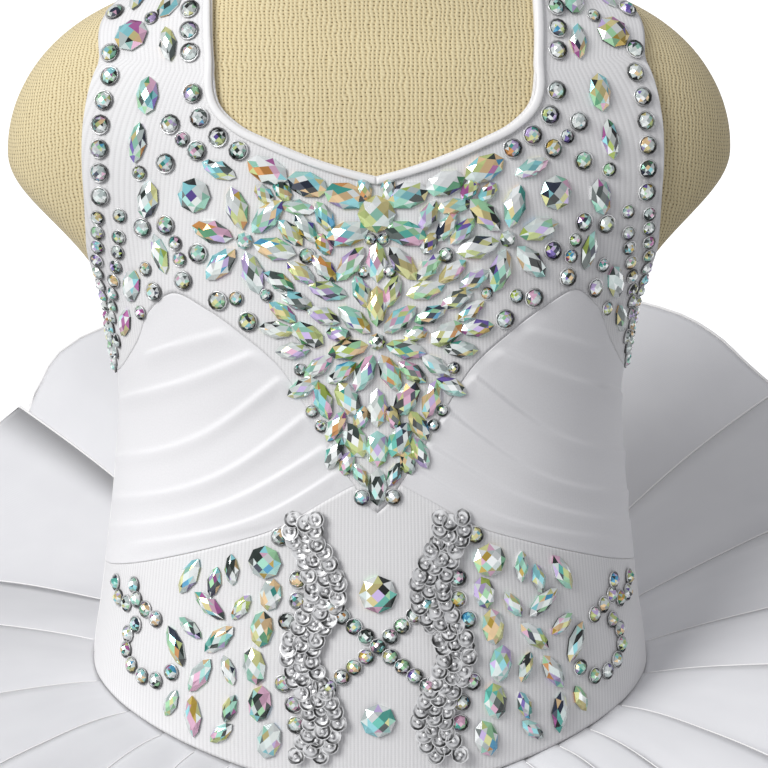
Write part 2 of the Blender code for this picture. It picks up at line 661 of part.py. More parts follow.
def make_stand():
    """Base, pole, collar and neck cap."""
    foot = BODY[0].height - STAND_GAP
    seat = BODY[-1].height + STAND_GAP
    turned_piece("stand_base", BASE_PROFILE, "beech_wood", 36)
    collar = [(row.radius, foot + row.height) for row in COLLAR_PROFILE]
    turned_piece("stand_collar", collar, "beech_wood", 24)
    turned_piece("neck_cap", [(row.radius, seat + row.height) for row in CAP_PROFILE], "beech_wood", 24)
    low, high = BASE_PROFILE[0].height + STAND_GAP, foot + COLLAR_PROFILE[-1].height - STAND_GAP
    bpy.ops.mesh.primitive_cylinder_add(
        vertices=POLE_SIDES, radius=POLE_RADIUS * MM, depth=(high - low) * MM,
        location=(0, 0, (low + high) / 2 * MM),
    )
    pole = bpy.context.object
    pole.name = "stand_pole"
    pole.data.materials.append(material("brushed_steel"))
    pole.data.shade_smooth()
    pole.data.set_sharp_from_angle(angle=math.radians(40))
    for holder in list(pole.users_collection):
        holder.objects.unlink(pole)
    dress.objects.link(pole)


def flower_stones(flower, side):
    """A flower's petals round its round eye."""
    stones = [Stone(ROUND, flower.girth * side, flower.height, FLOWER_EYE, FLOWER_EYE, 0, FLOWER_RISE)]
    for petal in range(flower.petals):
        turn = flower.first_turn + 360 * petal / flower.petals
        angle = math.radians(turn)
        stones.append(Stone(
            LEAF, (flower.girth + flower.reach * math.cos(angle)) * side,
            flower.height + flower.reach * math.sin(angle), flower.length, flower.width,
            turn if side > 0 else 180 - turn, FLOWER_RISE,
        ))
    return stones


def both_halves(stones):
    """A right half's stones and their mirror images."""
    left = [s._replace(girth=-s.girth, turn=180 - s.turn) for s in stones]
    return list(stones) + left


def make_bodice():
    """Yoke, midriff sides, basque and backs between their shared seam lines."""
    neck, arm, tip = seam_line(NECKLINE), seam_line(ARMHOLE), seam_line(YOKE_TIP)
    lower, top, back = seam_line(YOKE_LOWER), seam_line(BASQUE_TOP), seam_line(BACK_TOP)
    yoke = joined(tip, lower, arm[::-1], neck[::-1], mirrored(neck), mirrored(arm), mirrored(lower[::-1]),
                  mirrored(tip[::-1]))
    stones = list(CENTRE_STONES) + both_halves(HALF_STONES) + flower_stones(CENTRE_FLOWER, 1)
    stones += flower_stones(HALF_FLOWER, 1) + flower_stones(HALF_FLOWER, -1)
    panel("yoke_front", yoke, on_bodice, stones, [], "white_satin")
    for side, label in ((1, "right"), (-1, "left")):
        outline = joined(lower, top[::-1]) * (side, 1)
        panel("midriff_" + label, outline, on_bodice, [], [(p, side) for p in PLEATS], "white_chiffon")
    angles = np.arange(-SIDE_ANGLE, SIDE_ANGLE + 0.1, BASQUE_HEM_STEP)
    hem = np.stack([angles * GIRTH, seam_height(angles)], axis=1)
    basque = joined(hem, top[::-1], tip[::-1], mirrored(tip), mirrored(top))
    stones = list(BASQUE_CENTRE_STONES) + both_halves(BASQUE_HALF_STONES)
    panel("basque_front", basque, on_bodice, stones, [], "white_satin")
    angles = np.linspace(SIDE_ANGLE, 180, BACK_HEM_POINTS)
    hem = np.stack([angles * GIRTH, seam_height(angles)], axis=1)
    for side, label in ((1, "right"), (-1, "left")):
        panel("back_" + label, joined(hem, back[::-1]) * (side, 1), on_bodice, [], [], "white_satin")


def make_straps():
    """The halter straps over the shoulders, to the tab behind the neck."""
    corners = np.array([(0, 0), (STRAP_LENGTH, 0), (STRAP_LENGTH, STRAP_WIDTH), (0, STRAP_WIDTH)])
    long_edge = np.linspace(0, 1, 18)[:, None]
    short_edge = np.linspace(0, 1, 5)[:, None]
    lines = []
    for i, share in enumerate((long_edge, short_edge, long_edge, short_edge)):
        lines.append(corners[i] * (1 - share) + corners[(i + 1) % 4] * share)
    outline = joined(*lines)
    for side, label in ((1, "right"), (-1, "left")):
        panel("strap_" + label, outline, on_strap(side), STRAP_STONES, [], "white_satin")


def make_bindings():
    """The narrow binding along the neck edge, over yoke and strap."""
    low, high = OUTSIDE + LAY_GAP, OUTSIDE + LAY_GAP + BINDING_WALL
    neck = seam_line(NECKLINE)
    along = np.gradient(neck, axis=0)
    along /= np.linalg.norm(along, axis=1, keepdims=True)
    inward = np.stack([along[:, 1], -along[:, 0]], axis=1)
    inward[0] = (0, -1)
    edge = neck + inward * SEAM_GAP
    deep = neck + inward * (SEAM_GAP + BINDING_WIDTH)
    edge[0, 0] = deep[0, 0] = SEAM_GAP
    for side, label in ((1, "right"), (-1, "left")):
        corners = [on_bodice(line * (side, 1), lift) for line, lift in
                   ((edge, low), (edge, high), (deep, high), (deep, low))]
        yoke_part = np.stack(corners, axis=1)[:-1]
        lengths = np.linspace(0, STRAP_LENGTH, 18)[1:]
        lengths[-1] = STRAP_LENGTH - TAB_LENGTH
        place = on_strap(side)
        section = (SEAM_GAP, low), (SEAM_GAP, high), (BINDING_WIDTH, high), (BINDING_WIDTH, low)
        corners = [
            place(np.stack([lengths, np.full_like(lengths, across)], axis=1), lift)
            for across, lift in section
        ]
        strap_part = np.stack(corners, axis=1)
        lofted("neck_binding_" + label, np.concatenate([yoke_part, strap_part]), "white_satin")


def make_wall(name, flat_rows, place, low, high, finish):
    """A small wall over a grid of flat points, from one lift to another."""
    rows, columns = flat_rows.shape[:2]
    flat = flat_rows.reshape(-1, 2)
    places = np.concatenate([place(flat, np.full(len(flat), high)), place(flat, np.full(len(flat), low))])
    count = rows * columns
    faces = []
    for row in range(rows - 1):
        for i in range(columns - 1):
            a = row * columns + i
            face = [a, a + 1, a + columns + 1, a + columns]
            faces += [face, [count + k for k in reversed(face)]]
    rim = [i for i in range(columns)] + [row * columns + columns - 1 for row in range(1, rows)]
    rim += [(rows - 1) * columns + i for i in range(columns - 2, -1, -1)]
    rim += [row * columns for row in range(rows - 2, 0, -1)]
    for a, b in zip(rim, rim[1:] + rim[:1]):
        faces.append([b, a, count + a, count + b])
    return solid(name, places, faces, finish)


def make_button(name, place, out):
    """A covered button: a low dome with its flat foot on what carries it."""
    button = turned_piece(name, dome(BUTTON_RADIUS, BUTTON_RISE, 0), "white_satin", 10)
    spin = Vector((0, 0, 1)).rotation_difference(Vector(out)).to_matrix().to_4x4()
    button.matrix_world = Matrix.Translation(Vector(place * MM)) @ spin


def make_fastening():
    """Centre-back placket with its buttons, and the neck tab with its own."""
    low, high = OUTSIDE + LAY_GAP, OUTSIDE + LAY_GAP + TAB_WALL
    foot, top = WAIST_SEAM + PLACKET_ENDS[0], BACK_TOP[-1].height - PLACKET_ENDS[1]
    angles = np.array([-1, -0.5, 0, 0.5, 1]) * PLACKET_HALF_ANGLE + 180
    heights = np.linspace(foot, top, 11)
    grid = np.stack(np.meshgrid(angles * GIRTH, heights), axis=-1)
    make_wall("back_placket", grid, on_bodice, low, high, "white_satin")
    spots = np.linspace(foot + BUTTON_ENDS[0], top - BUTTON_ENDS[1], BACK_BUTTONS)
    for number, height in enumerate(spots):
        spot = on_body(180, height, high + LAY_GAP)
        out = slope_of_form(spot[None])[0]
        make_button(f"back_button_{number + 1}", spot, out)

    def place(flat, lift):
        right = on_strap(1)(np.abs(flat) * (-1, 1) + (STRAP_LENGTH, 0), lift)
        return right * np.where(flat[:, :1] < 0, (-1, 1, 1), (1, 1, 1))

    across = np.linspace(TAB_INSET, STRAP_WIDTH - TAB_INSET, 5)
    grid = np.stack(np.meshgrid(TAB_LENGTHS, across), axis=-1)
    make_wall("neck_tab", grid, place, low, high, "white_satin")
    spot = place(np.array([[TAB_LENGTHS[3], STRAP_WIDTH / 2]]), high + LAY_GAP)[0] * (0, 1, 1)
    out = slope_of_form(spot[None])[0]
    make_button("neck_button", spot, out)


def has_lobe(ruffle, side):
    """Whether this half of the ruffle has the lobe."""
    return ruffle.profile is FOLD and side < 0


def fold_edges(ruffle, side):
    """Angles where the folds of one half meet."""
    edges = np.array(ruffle.edges, float)
    behind = np.clip((edges - SHIFT_START) / (180 - SHIFT_START), 0, 1)
    edges -= side * SIDE_SHIFT * np.sin(math.pi * behind)
    if has_lobe(ruffle, side):
        edges[LOBE_PLACE] += LOBE_SHIFT
    return edges


def fold_points(ruffle, row, side):
    """Angle, height and crest of each point on one half of a ruffle's ring, from centre front to centre
    back."""
    last = len(ruffle.edges) - 2
    points = []
    edges = fold_edges(ruffle, side)
    for fold, (start, end) in enumerate(zip(edges, edges[1:])):
        width = end - start
        uneven = 1 + sum(s.share * math.sin(s.pace * fold + s.side * side) for s in FOLD_SWAY)
        uneven *= math.sqrt(width / MEAN_FOLD)
        profile = ruffle.profile
        if has_lobe(ruffle, side):
            uneven *= LOW_FOLD if fold == LOBE_PLACE - 1 else 1
            profile = LOBE_FOLD if fold == LOBE_PLACE else profile
        lean = LEAN_SWAY.share * math.sin(LEAN_SWAY.pace * fold + side) if 0 < fold < last else 0
        for bend in profile:
            at_middle = fold == 0 and bend.tuck < 0 or fold == last and bend.tuck > 0
            tuck = 0 if at_middle else bend.tuck
            share = max(bend.share, FIRST_SHARE) if fold == 0 else bend.share
            angle = start + (share + (tuck + lean) * row.tuck) * width
            points.append((angle * side, bend.height * uneven, max(0, bend.height)))
    return points if side > 0 else points[::-1]


def make_ruffle(ruffle):
    """A gathered ruffle: folds that lean back and deepen from the waist seam to the hem, as a sheet with
    a wall."""
    front, middle, behind = STATIONS
    rings = []
    for row in ruffle.rows:
        angles, heights, crests = np.array(fold_points(ruffle, row, 1) + fold_points(ruffle, row, -1)).T
        away = np.abs(angles)
        to_side = smooth_share((away - front) / (middle - front))
        to_back = smooth_share((away - middle) / (behind - middle))
        shares = np.stack([1 - to_side, to_side - to_back, to_back])
        out = np.array([row.front_out, row.side_out, row.back_out]) @ shares
        rise = np.array([row.front_rise, row.side_rise, row.back_rise]) @ shares
        out = out + ruffle.crests * crests * row.fold / ruffle.rows[-1].fold
        dip = LEFT_DIP * np.exp(-(((angles - DIP_ANGLE) / DIP_WIDTH) ** 2))
        rise = rise + (SIDE_LIFT * np.sin(np.radians(angles)) - dip) * out / LIFT_REACH
        start = on_body(angles, seam_height(angles) - ruffle.start, CLEAR)
        points = start + outward(angles) * (out - CLEAR)[:, None]
        points[:, 2] += rise + row.fold * heights
        rings.append(points)
    sheet(ruffle.name, np.array(rings), "white_organza")


def smooth_share(share):
    """A share held between none and all, with soft ends."""
    share = np.clip(share, 0, 1)
    return share * share * (3 - 2 * share)


def outward(angles):
    """Level directions away from the pole at these angles from centre front."""
    turn = np.radians(angles)
    return np.stack([np.sin(turn), -np.cos(turn), np.zeros_like(turn)], axis=-1)


def sheet(name, points, finish):
    """Rings of like count joined into an open sheet, given its wall by Solidify."""
    rows, count = points.shape[:2]
    faces = []
    for row in range(rows - 1):
        for i in range(count):
            j = (i + 1) % count
            faces.append([row * count + i, (row + 1) * count + i, (row + 1) * count + j, row * count + j])
    mesh = bpy.data.meshes.new(name)
    mesh.from_pydata([tuple(p) for p in points.reshape(-1, 3) * MM], [], faces)
    mesh.materials.append(material(finish))
    thing = bpy.data.objects.new(name, mesh)
    dress.objects.link(thing)
    wall = thing.modifiers.new("wall", "SOLIDIFY")
    wall.thickness = RUFFLE_WALL * MM
    wall.offset = -1
    return thing


def make_underskirt():
    """The plain flared ground of the skirt."""
    angles = np.arange(UNDERSKIRT_COLUMNS) * 360 / UNDERSKIRT_COLUMNS
    wrapped = (angles + 180) % 360 - 180
    start = on_body(wrapped, seam_height(wrapped) - UNDERSKIRT_START, CLEAR)
    rings = [start + outward(angles) * (row.out - CLEAR) + (0, 0, row.rise) for row in UNDERSKIRT]
    sheet("underskirt", np.array(rings), "white_satin")


for old in list(bpy.data.objects):
    bpy.data.objects.remove(old, do_unlink=True)
dress = bpy.data.collections.new("pageant_dress_on_form")
bpy.context.scene.collection.children.link(dress)

make_torso()
make_stand()
make_bodice()
make_straps()
make_bindings()
make_fastening()
for tier in RUFFLES:
    make_ruffle(tier)
make_underskirt()
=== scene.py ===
"""Toddler's pageant dress on a limbless dress form, in its real cloth, stones and stand finishes.

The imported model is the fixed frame. Sizes are in millimetres until a mesh is made, and the body's own tables and
formulas are those of the part's source, so that each piece lies where its solid does. An angle is counted in
degrees round the body from centre front, and a girth is that angle's length round a body of mean radius. Cloth is
a grid of points worked out on the body, with a thin wall; stones are cut shapes set on the cloth.

The formulas, each told in full where it stands: the body is a stack of rounded ovals with a cut ball at each
shoulder (form); a point is set on it by steps along a ray or along its slope (on_body, settle); a line runs
through its table's rows as a smooth cubic (cubic, through); the skirt's seam dips as a squared cosine
(seam_height); a pleat is a bell of the distance from its edge (pleat_relief); the sequin band winds as a sine
(band_middle); and a petal's height is the sum of its ring's rise, its fold's section and an arch
(ruffle_points).
"""

import math
from collections import namedtuple

import bpy
import numpy as np
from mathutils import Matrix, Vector


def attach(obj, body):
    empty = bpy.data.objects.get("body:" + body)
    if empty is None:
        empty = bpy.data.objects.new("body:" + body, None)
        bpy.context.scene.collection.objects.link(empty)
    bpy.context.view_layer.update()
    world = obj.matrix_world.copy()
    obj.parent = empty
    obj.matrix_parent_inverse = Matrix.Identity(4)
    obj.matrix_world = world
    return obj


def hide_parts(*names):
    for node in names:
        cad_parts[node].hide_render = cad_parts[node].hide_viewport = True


MM = 0.001
GIRTH = 1.4  # millimetres round the body for a degree

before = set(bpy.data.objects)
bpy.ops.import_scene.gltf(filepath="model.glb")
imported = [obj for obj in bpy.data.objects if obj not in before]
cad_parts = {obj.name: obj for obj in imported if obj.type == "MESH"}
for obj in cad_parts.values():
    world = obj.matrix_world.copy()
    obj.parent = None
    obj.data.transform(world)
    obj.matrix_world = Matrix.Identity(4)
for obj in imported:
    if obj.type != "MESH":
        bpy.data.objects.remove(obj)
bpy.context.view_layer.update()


# Camera and studio

PHOTO_SIDE = 768
PIXEL = 0.35  # millimetres of the bodice for a pixel of the photograph
CAMERA_FAR = 1700.0
CAMERA_TARGET = (0.0, 0.0, 428.3)
CAMERA_ELEVATION = 15.0
CAMERA_AZIMUTH = -2.0
AXIS_PIXEL = 370  # where the body's axis stands in the photograph
SENSOR = 36.0


def make_camera():
    """Camera in front of the bodice, a little above it, framed as the photograph is."""
    up, round_it = math.radians(CAMERA_ELEVATION), math.radians(CAMERA_AZIMUTH)
    back = Vector((math.sin(round_it) * math.cos(up), -math.cos(round_it) * math.cos(up), math.sin(up)))
    lens = bpy.data.cameras.new("camera")
    lens.sensor_width = SENSOR
    lens.lens = SENSOR * CAMERA_FAR / (PHOTO_SIDE * PIXEL)
    lens.shift_x = (PHOTO_SIDE / 2 - AXIS_PIXEL) / PHOTO_SIDE
    camera = bpy.data.objects.new("camera", lens)
    camera.location = (Vector(CAMERA_TARGET) + back * CAMERA_FAR) * MM
    camera.rotation_mode = "QUATERNION"
    camera.rotation_quaternion = (-back).to_track_quat("-Z", "Y")
    bpy.context.scene.collection.objects.link(camera)
    bpy.context.scene.camera = camera


def linear(hex_colour):
    """An sRGB hex colour as linear red, green, blue and full alpha: a straight line for the darkest values, a power
    of 2.4 above them."""
    parts = [int(hex_colour[i : i + 2], 16) / 255 for i in (0, 2, 4)]
    return (*[c / 12.92 if c <= 0.04045 else ((c + 0.055) / 1.055) ** 2.4 for c in parts], 1.0)


def node(tree, kind, inputs=(), **settings):
    """Adds a node with its settings, and fills its inputs with values or with links from other nodes' outputs."""
    made = tree.nodes.new(kind)
    for name, value in settings.items():
        setattr(made, name, value)
    for key, value in dict(inputs).items():
        if isinstance(value, bpy.types.NodeSocket):
            tree.links.new(value, made.inputs[key])
        else:
            made.inputs[key].default_value = value
    return made


def shader_of(name, colour, roughness, **sockets):
    """A new Principled material with constant sockets set directly, and its node tree and shader."""
    made = bpy.data.materials.new(name)
    made.use_nodes = True
    shader = made.node_tree.nodes["Principled BSDF"]
    shader.inputs["Base Color"].default_value = linear(colour)
    shader.inputs["Roughness"].default_value = roughness
    for key, value in sockets.items():
        shader.inputs[key.replace("_", " ")].default_value = value
    return made, made.node_tree, shader


SUN_FROM = (-0.64, -0.54, 0.55)
SUN_STRENGTH = 2.3
SUN_SOFTNESS = 30.0
SKY_BELOW = 0.14
SKY_ABOVE = 0.56
FLOOR_REACH = 60.0  # metres
FLOOR_GLOW = 0.5


def make_studio():
    """White floor that runs far back, soft white sky and one broad sun from the left front."""
    floor = bpy.data.meshes.new("floor")
    far = FLOOR_REACH
    floor.from_pydata([(-far, -far, 0), (far, -far, 0), (far, far, 0), (-far, far, 0)], [], [(0, 1, 2, 3)])
    painted, tree, shader = shader_of("white_studio_paint", "fdfdfd", 0.9, Emission_Strength=FLOOR_GLOW)
    shader.inputs["Emission Color"].default_value = linear("ffffff")
    floor.materials.append(painted)
    ground = bpy.data.objects.new("floor", floor)
    bpy.context.scene.collection.objects.link(ground)
    ground.visible_diffuse = False
    world = bpy.data.worlds.new("soft_sky")
    world.use_nodes = True
    tree = world.node_tree
    tree.nodes["Background"].inputs["Color"].default_value = linear("f9faff")
    way = node(tree, "ShaderNodeTexCoord")
    apart = node(tree, "ShaderNodeSeparateXYZ", {0: way.outputs["Generated"]})
    level = node(tree, "ShaderNodeMapRange", {0: apart.outputs[2], 1: -1.0, 2: 1.0, 3: SKY_BELOW, 4: SKY_ABOVE})
    tree.links.new(level.outputs[0], tree.nodes["Background"].inputs["Strength"])
    bpy.context.scene.world = world
    bpy.context.scene.view_settings.view_transform = "Standard"
    sun = bpy.data.lights.new("key", "SUN")
    sun.energy = SUN_STRENGTH
    sun.angle = math.radians(SUN_SOFTNESS)
    key = bpy.data.objects.new("key", sun)
    key.rotation_mode = "QUATERNION"
    key.rotation_quaternion = Vector(SUN_FROM).to_track_quat("Z", "Y")
    bpy.context.scene.collection.objects.link(key)


# The body's form, as in the part's source


def table(kind, *rows):
    """Rows of a table with named columns."""
    return tuple(kind(*row) for row in rows)


Section = namedtuple("Section", "height half_width front back")
BODY = table(
    Section, (252, 78, 58, 60), (266, 89, 67, 68), (285, 94, 72, 71), (310, 96, 75, 70), (335, 95, 75.5, 66),
    (352, 92.5, 75, 63), (372, 90, 73, 60), (400, 87, 70, 57.5), (428, 85.5, 67, 57), (455, 89, 65, 59),
    (480, 94, 62, 60.5), (505, 96, 58.5, 60), (530, 94.5, 53, 56), (550, 89, 45.5, 49.5), (562, 80, 39.5, 44),
    (573, 65, 35, 39.5), (583, 49, 32.5, 36), (593, 39, 31.5, 33.5), (606, 35.5, 31.5, 32), (620, 35, 31.5, 31.5),
)
SQUARENESS = 2.3
STUB_CENTRE = (76.0, 2.0, 512.0)
STUB_RADII = (49.0, 36.0, 49.0)
STUB_SCALE = 42.0
STUB_END = (0.56, -0.83, 36.5)
STUB_END_ROUND = 9.0
STUB_ROOT_ROUND = 16.0
CLEAR = 1.0  # from the form to the cloth's inner face
OUTSIDE = 2.4  # and to its outer face
WALL = 1.4
LAY_GAP = 0.4  # between a cloth and what lies on it


def cubic(t, step, start, end, start_slope, end_slope):
    """Smooth cubic between two values with these slopes, at a share of the step from one to the other."""
    return ((2 * t**3 - 3 * t**2 + 1) * start + (t**3 - 2 * t**2 + t) * step * start_slope
            + (3 * t**2 - 2 * t**3) * end + (t**3 - t**2) * step * end_slope)


def column(heights, index):
    """Smooth cubic through one column of the torso's table, with each row's slope taken from its neighbours."""
    rows = np.array(BODY)
    at, value = rows[:, 0], rows[:, index]
    slope = np.gradient(value, at)
    row = np.clip(np.searchsorted(at, heights) - 1, 0, len(at) - 2)
    step = at[row + 1] - at[row]
    t = np.clip((heights - at[row]) / step, 0, 1)
    return cubic(t, step, value[row], value[row + 1], slope[row], slope[row + 1])


def soft_least(a, b, width):
    """The lesser of two values, rounded over where they meet."""
    share = np.clip(0.5 + 0.5 * (b - a) / width, 0, 1)
    return b * (1 - share) + a * share - width * share * (1 - share)


def form(points):
    """Below zero inside the form's torso and stubs, above zero outside. A level section of the torso is a rounded
    oval: its width's share and its depth's share, each to the power of SQUARENESS, add up to one. A ball with a
    flat cut joins it softly at each shoulder."""
    x, y, z = np.abs(points[..., 0]), points[..., 1], points[..., 2]
    wide, front, back = column(z, 1), column(z, 2), column(z, 3)
    deep = np.where(y < 0, front, back)
    oval = ((x / wide) ** SQUARENESS + np.abs(y / deep) ** SQUARENESS) ** (1 / SQUARENESS)
    torso = (oval - 1) * np.minimum(wide, (front + back) / 2)
    parts = [(axis - middle) / radius for axis, middle, radius in zip((x, y, z), STUB_CENTRE, STUB_RADII)]
    ball = (np.sqrt(sum(part**2 for part in parts)) - 1) * STUB_SCALE
    end = (x - STUB_CENTRE[0]) * STUB_END[0] + (z - STUB_CENTRE[2]) * STUB_END[1] - STUB_END[2]
    stub = -soft_least(-ball, -end, STUB_END_ROUND)
    return soft_least(torso, stub, STUB_ROOT_ROUND)


SLOPE_STEP = 0.05


def slope_of_form(points):
    """How the form's value changes along each axis, by small steps."""
    shifts = np.eye(3) * SLOPE_STEP
    return np.stack([(form(points + s) - form(points - s)) / (2 * SLOPE_STEP) for s in shifts], axis=-1)


def outward(angles):
    """Level directions away from the pole at these angles from centre front."""
    turn = np.radians(angles)
    return np.stack([np.sin(turn), -np.cos(turn), np.zeros_like(turn)], axis=-1)


TABLE_TURN = 1.5  # degrees between the columns of the table of radii
TABLE_RISE = 3.0  # and millimetres between its rows
TABLE_ANGLES = np.linspace(-180, 180, round(360 / TABLE_TURN) + 1)
TABLE_HEIGHTS = np.arange(250.0, 623.0, TABLE_RISE)
NEAREST, FARTHEST = 20.0, 150.0
HALVINGS = 18
RAY_STEPS = 5
LONGEST_STEP = 6
LEAST_STEEP = 0.3
SETTLE_STEPS = 12


def radius_table():
    """How far the form reaches from its axis at a grid of angles and heights, by a halving search."""
    angles, heights = np.meshgrid(TABLE_ANGLES, TABLE_HEIGHTS, indexing="ij")
    ray, level = outward(angles), heights[..., None] * (0.0, 0.0, 1.0)
    near, far = np.full(angles.shape, NEAREST), np.full(angles.shape, FARTHEST)
    for _ in range(HALVINGS):
        middle = (near + far) / 2
        outside = form(level + ray * middle[..., None]) > 0
        near, far = np.where(outside, near, middle), np.where(outside, middle, far)
    return (near + far) / 2


RADII = radius_table()


def on_body(angles, heights, lift):
    """Points at these angles and heights, lifted off the form: the table's radius between its four nearest values,
    then steps along the ray, each as long as the lift that is still missing over how squarely the ray meets the
    form."""
    angles, heights, lift = np.broadcast_arrays(*(np.asarray(given, float) for given in (angles, heights, lift)))
    wrapped = (angles + 180) % 360 - 180
    i = np.clip((wrapped + 180) / TABLE_TURN, 0, len(TABLE_ANGLES) - 1.001)
    j = np.clip((heights - TABLE_HEIGHTS[0]) / TABLE_RISE, 0, len(TABLE_HEIGHTS) - 1.001)
    a, b = i.astype(int), j.astype(int)
    u, v = i - a, j - b
    reach = (RADII[a, b] * (1 - u) * (1 - v) + RADII[a + 1, b] * u * (1 - v) + RADII[a, b + 1] * (1 - u) * v
             + RADII[a + 1, b + 1] * u * v) + lift
    ray, level = outward(angles), heights[..., None] * (0.0, 0.0, 1.0)
    for _ in range(RAY_STEPS):
        points = level + ray * reach[..., None]
        slope = slope_of_form(points)
        length = np.linalg.norm(slope, axis=-1)
        steep = np.clip((slope * ray).sum(axis=-1) / length, LEAST_STEEP, 1)
        reach = reach - np.clip((form(points) / length - lift) / steep, -LONGEST_STEP, LONGEST_STEP)
    return level + ray * reach[..., None]


def settle(points, lift):
    """Points moved along the form's slope until they stand off it by their lift."""
    for _ in range(SETTLE_STEPS):
        slope = slope_of_form(points)
        length = np.linalg.norm(slope, axis=-1, keepdims=True)
        short = (form(points) / length[..., 0] - lift)[..., None]
        points = points - short * slope / length
    return points


def shares_along(line):
    """The share of a line's length that lies before each of its points."""
    runs = np.linalg.norm(np.diff(line, axis=0), axis=1)
    return np.concatenate([[0], np.cumsum(runs)]) / runs.sum()


def through(rows, share):
    """Points at these shares of the length of a smooth curve through the rows."""
    rows = np.array(rows, float)
    at = shares_along(rows)
    slope = np.gradient(rows, at, axis=0)
    row = np.clip(np.searchsorted(at, share) - 1, 0, len(at) - 2)
    step = (at[row + 1] - at[row])[:, None]
    t = ((share - at[row]) / step[:, 0])[:, None]
    return cubic(t, step, rows[row], rows[row + 1], slope[row], slope[row + 1])


def smooth_share(share):
    """A share held between none and all, with soft ends: three times its square less twice its cube."""
    share = np.clip(share, 0, 1)
    return share * share * (3 - 2 * share)


# Seam lines of the right half: angle from centre front, and height

Line = namedtuple("Line", "angle height")
NECKLINE = table(Line, (0, 515.8), (9, 518.2), (19, 521.4), (33.5, 527.5), (42, 532), (48, 538), (51.9, 548))
ARMHOLE = table(Line, (74.2, 548), (72.2, 532), (71, 516), (71, 501), (72.5, 488), (77, 472), (84, 457), (92, 447))
YOKE_TIP = table(Line, (0, 402.5), (3, 406), (6.3, 412.2))
YOKE_LOWER = table(
    Line, (6.3, 412.2), (9, 417), (17.5, 434), (27, 452), (36, 461.5), (46, 470), (54, 474), (60, 467), (66, 453),
    (76, 441), (92, 434),
)
BASQUE_TOP = table(
    Line, (6.3, 412.2), (14, 406.6), (27, 396), (38, 390), (50, 383.5), (66, 375), (78, 369.5), (92, 364),
)
BACK_TOP = table(Line, (92, 447), (104, 441), (125, 438), (150, 437), (180, 436.5))
WAIST_SEAM = 331.5
WAIST_DIP = 25.0
SEAM_GAP = 0.2
HEM_LAP = 1.4  # the bodice's hem hangs this far over the skirt's seam

Pleat = namedtuple("Pleat", "start middle end depth")
PLEATS = table(
    Pleat,
    (Line(41, 463), Line(52, 457), Line(63, 450), 1.5),
    (Line(34, 456), Line(52, 443.5), Line(88, 424), 1.9),
    (Line(27, 447.5), Line(46, 426.5), Line(88, 403.5), 2.1),
    (Line(20, 435.5), Line(41, 413.5), Line(88, 389), 2.0),
    (Line(15, 424.5), Line(37, 405.5), Line(88, 378), 1.8),
    (Line(11.5, 416), Line(28, 402), Line(66, 382), 1.3),
)

Guide = namedtuple("Guide", "x y z")
STRAP_INNER = table(
    Guide, (53.5, -42, 548), (54, -35, 559), (52.5, -22, 571), (50, -4, 578), (46, 14, 581), (36, 29, 586),
    (20, 36, 592), (0.6, 36, 596),
)
STRAP_OUTER = table(
    Guide, (92, -26, 548), (91, -13, 559), (83, -2, 566), (72, 10, 571), (60, 26, 571), (42, 41, 569), (22, 46, 571),
    (0.6, 47, 574),
)
STRAP_LENGTH = 135.0
STRAP_WIDTH = 36.0


def flat_line(rows, count):
    """A seam line as girth and height, at even shares of its length."""
    return through([(row.angle * GIRTH, row.height) for row in rows], np.linspace(0, 1, count))


def between(first, last, share):
    """Points between those of two lines, at these shares of the way across: a row for each point of a line."""
    return first[:, None] * (1 - share) + last[:, None] * share


def seam_height(angle):
    """Height of the seam between bodice and skirt: level behind, and lower in front by WAIST_DIP times the square
    of the angle's cosine."""
    dip = np.cos(np.radians(angle)) * (np.abs(angle) < 90)
    return WAIST_SEAM - WAIST_DIP * dip**2


def on_bodice(flat, lift):
    """Place of a bodice panel's points, given as girth and height."""
    return on_body(flat[..., 0] / GIRTH, flat[..., 1], lift)


def on_strap(side):
    """Place of a strap's points, given as length along it and distance across it: between two curves over the
    shoulder, then moved to the form's surface."""

    def place(flat, lift):
        shape = flat.shape[:-1]
        flat = flat.reshape(-1, 2)
        share = np.clip(flat[:, 0] / STRAP_LENGTH, 0, 1)
        across = (flat[:, 1] / STRAP_WIDTH)[:, None]
        points = through(STRAP_INNER, share) * (1 - across) + through(STRAP_OUTER, share) * across
        points = settle(points, np.broadcast_to(lift, shape).reshape(-1))
        return (points * (side, 1, 1)).reshape(*shape, 3)

    return place


# Making pieces

CUT_UNIT = 100.0  # millimetres of the flat cut for a unit of its map
# The stored colours: the stones' facet tints with painted dark reflections and painted shade, and the silver shapes'
# painted light and shade levels
TINT_AND_PAINTED_LIGHT = "tint_and_painted_light"  # the colours stored on a piece that its finish reads
TUBE_SIDES = 8
UPRIGHT = 0.8  # a path steeper than this takes its ring's first direction from a level axis


def add_piece(name, points, faces, finish, cut=None, smooth=True):
    """A mesh piece from points in millimetres and faces of one size, with its finish and its flat cut as UV map.
    The cut is in millimetres."""
    mesh = bpy.data.meshes.new(name)
    points, faces = np.asarray(points, float).reshape(-1, 3), np.asarray(faces, np.int32)
    count, corners = faces.shape
    mesh.vertices.add(len(points))
    mesh.vertices.foreach_set("co", (points * MM).astype(np.float32).ravel())
    mesh.loops.add(count * corners)
    mesh.loops.foreach_set("vertex_index", faces.ravel())
    mesh.polygons.add(count)
    mesh.polygons.foreach_set("loop_start", np.arange(count, dtype=np.int32) * corners)
    mesh.update(calc_edges=True)
    mesh.polygons.foreach_set("use_smooth", np.full(count, smooth))
    if cut is not None:
        layer = mesh.uv_layers.new(name="cut")
        flat = np.asarray(cut, float).reshape(-1, 2)[faces.ravel()] / CUT_UNIT
        layer.data.foreach_set("uv", flat.astype(np.float32).ravel())
    mesh.materials.append(finish)
    made = bpy.data.objects.new(name, mesh)
    bpy.context.scene.collection.objects.link(made)
    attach(made, "root")
    return made


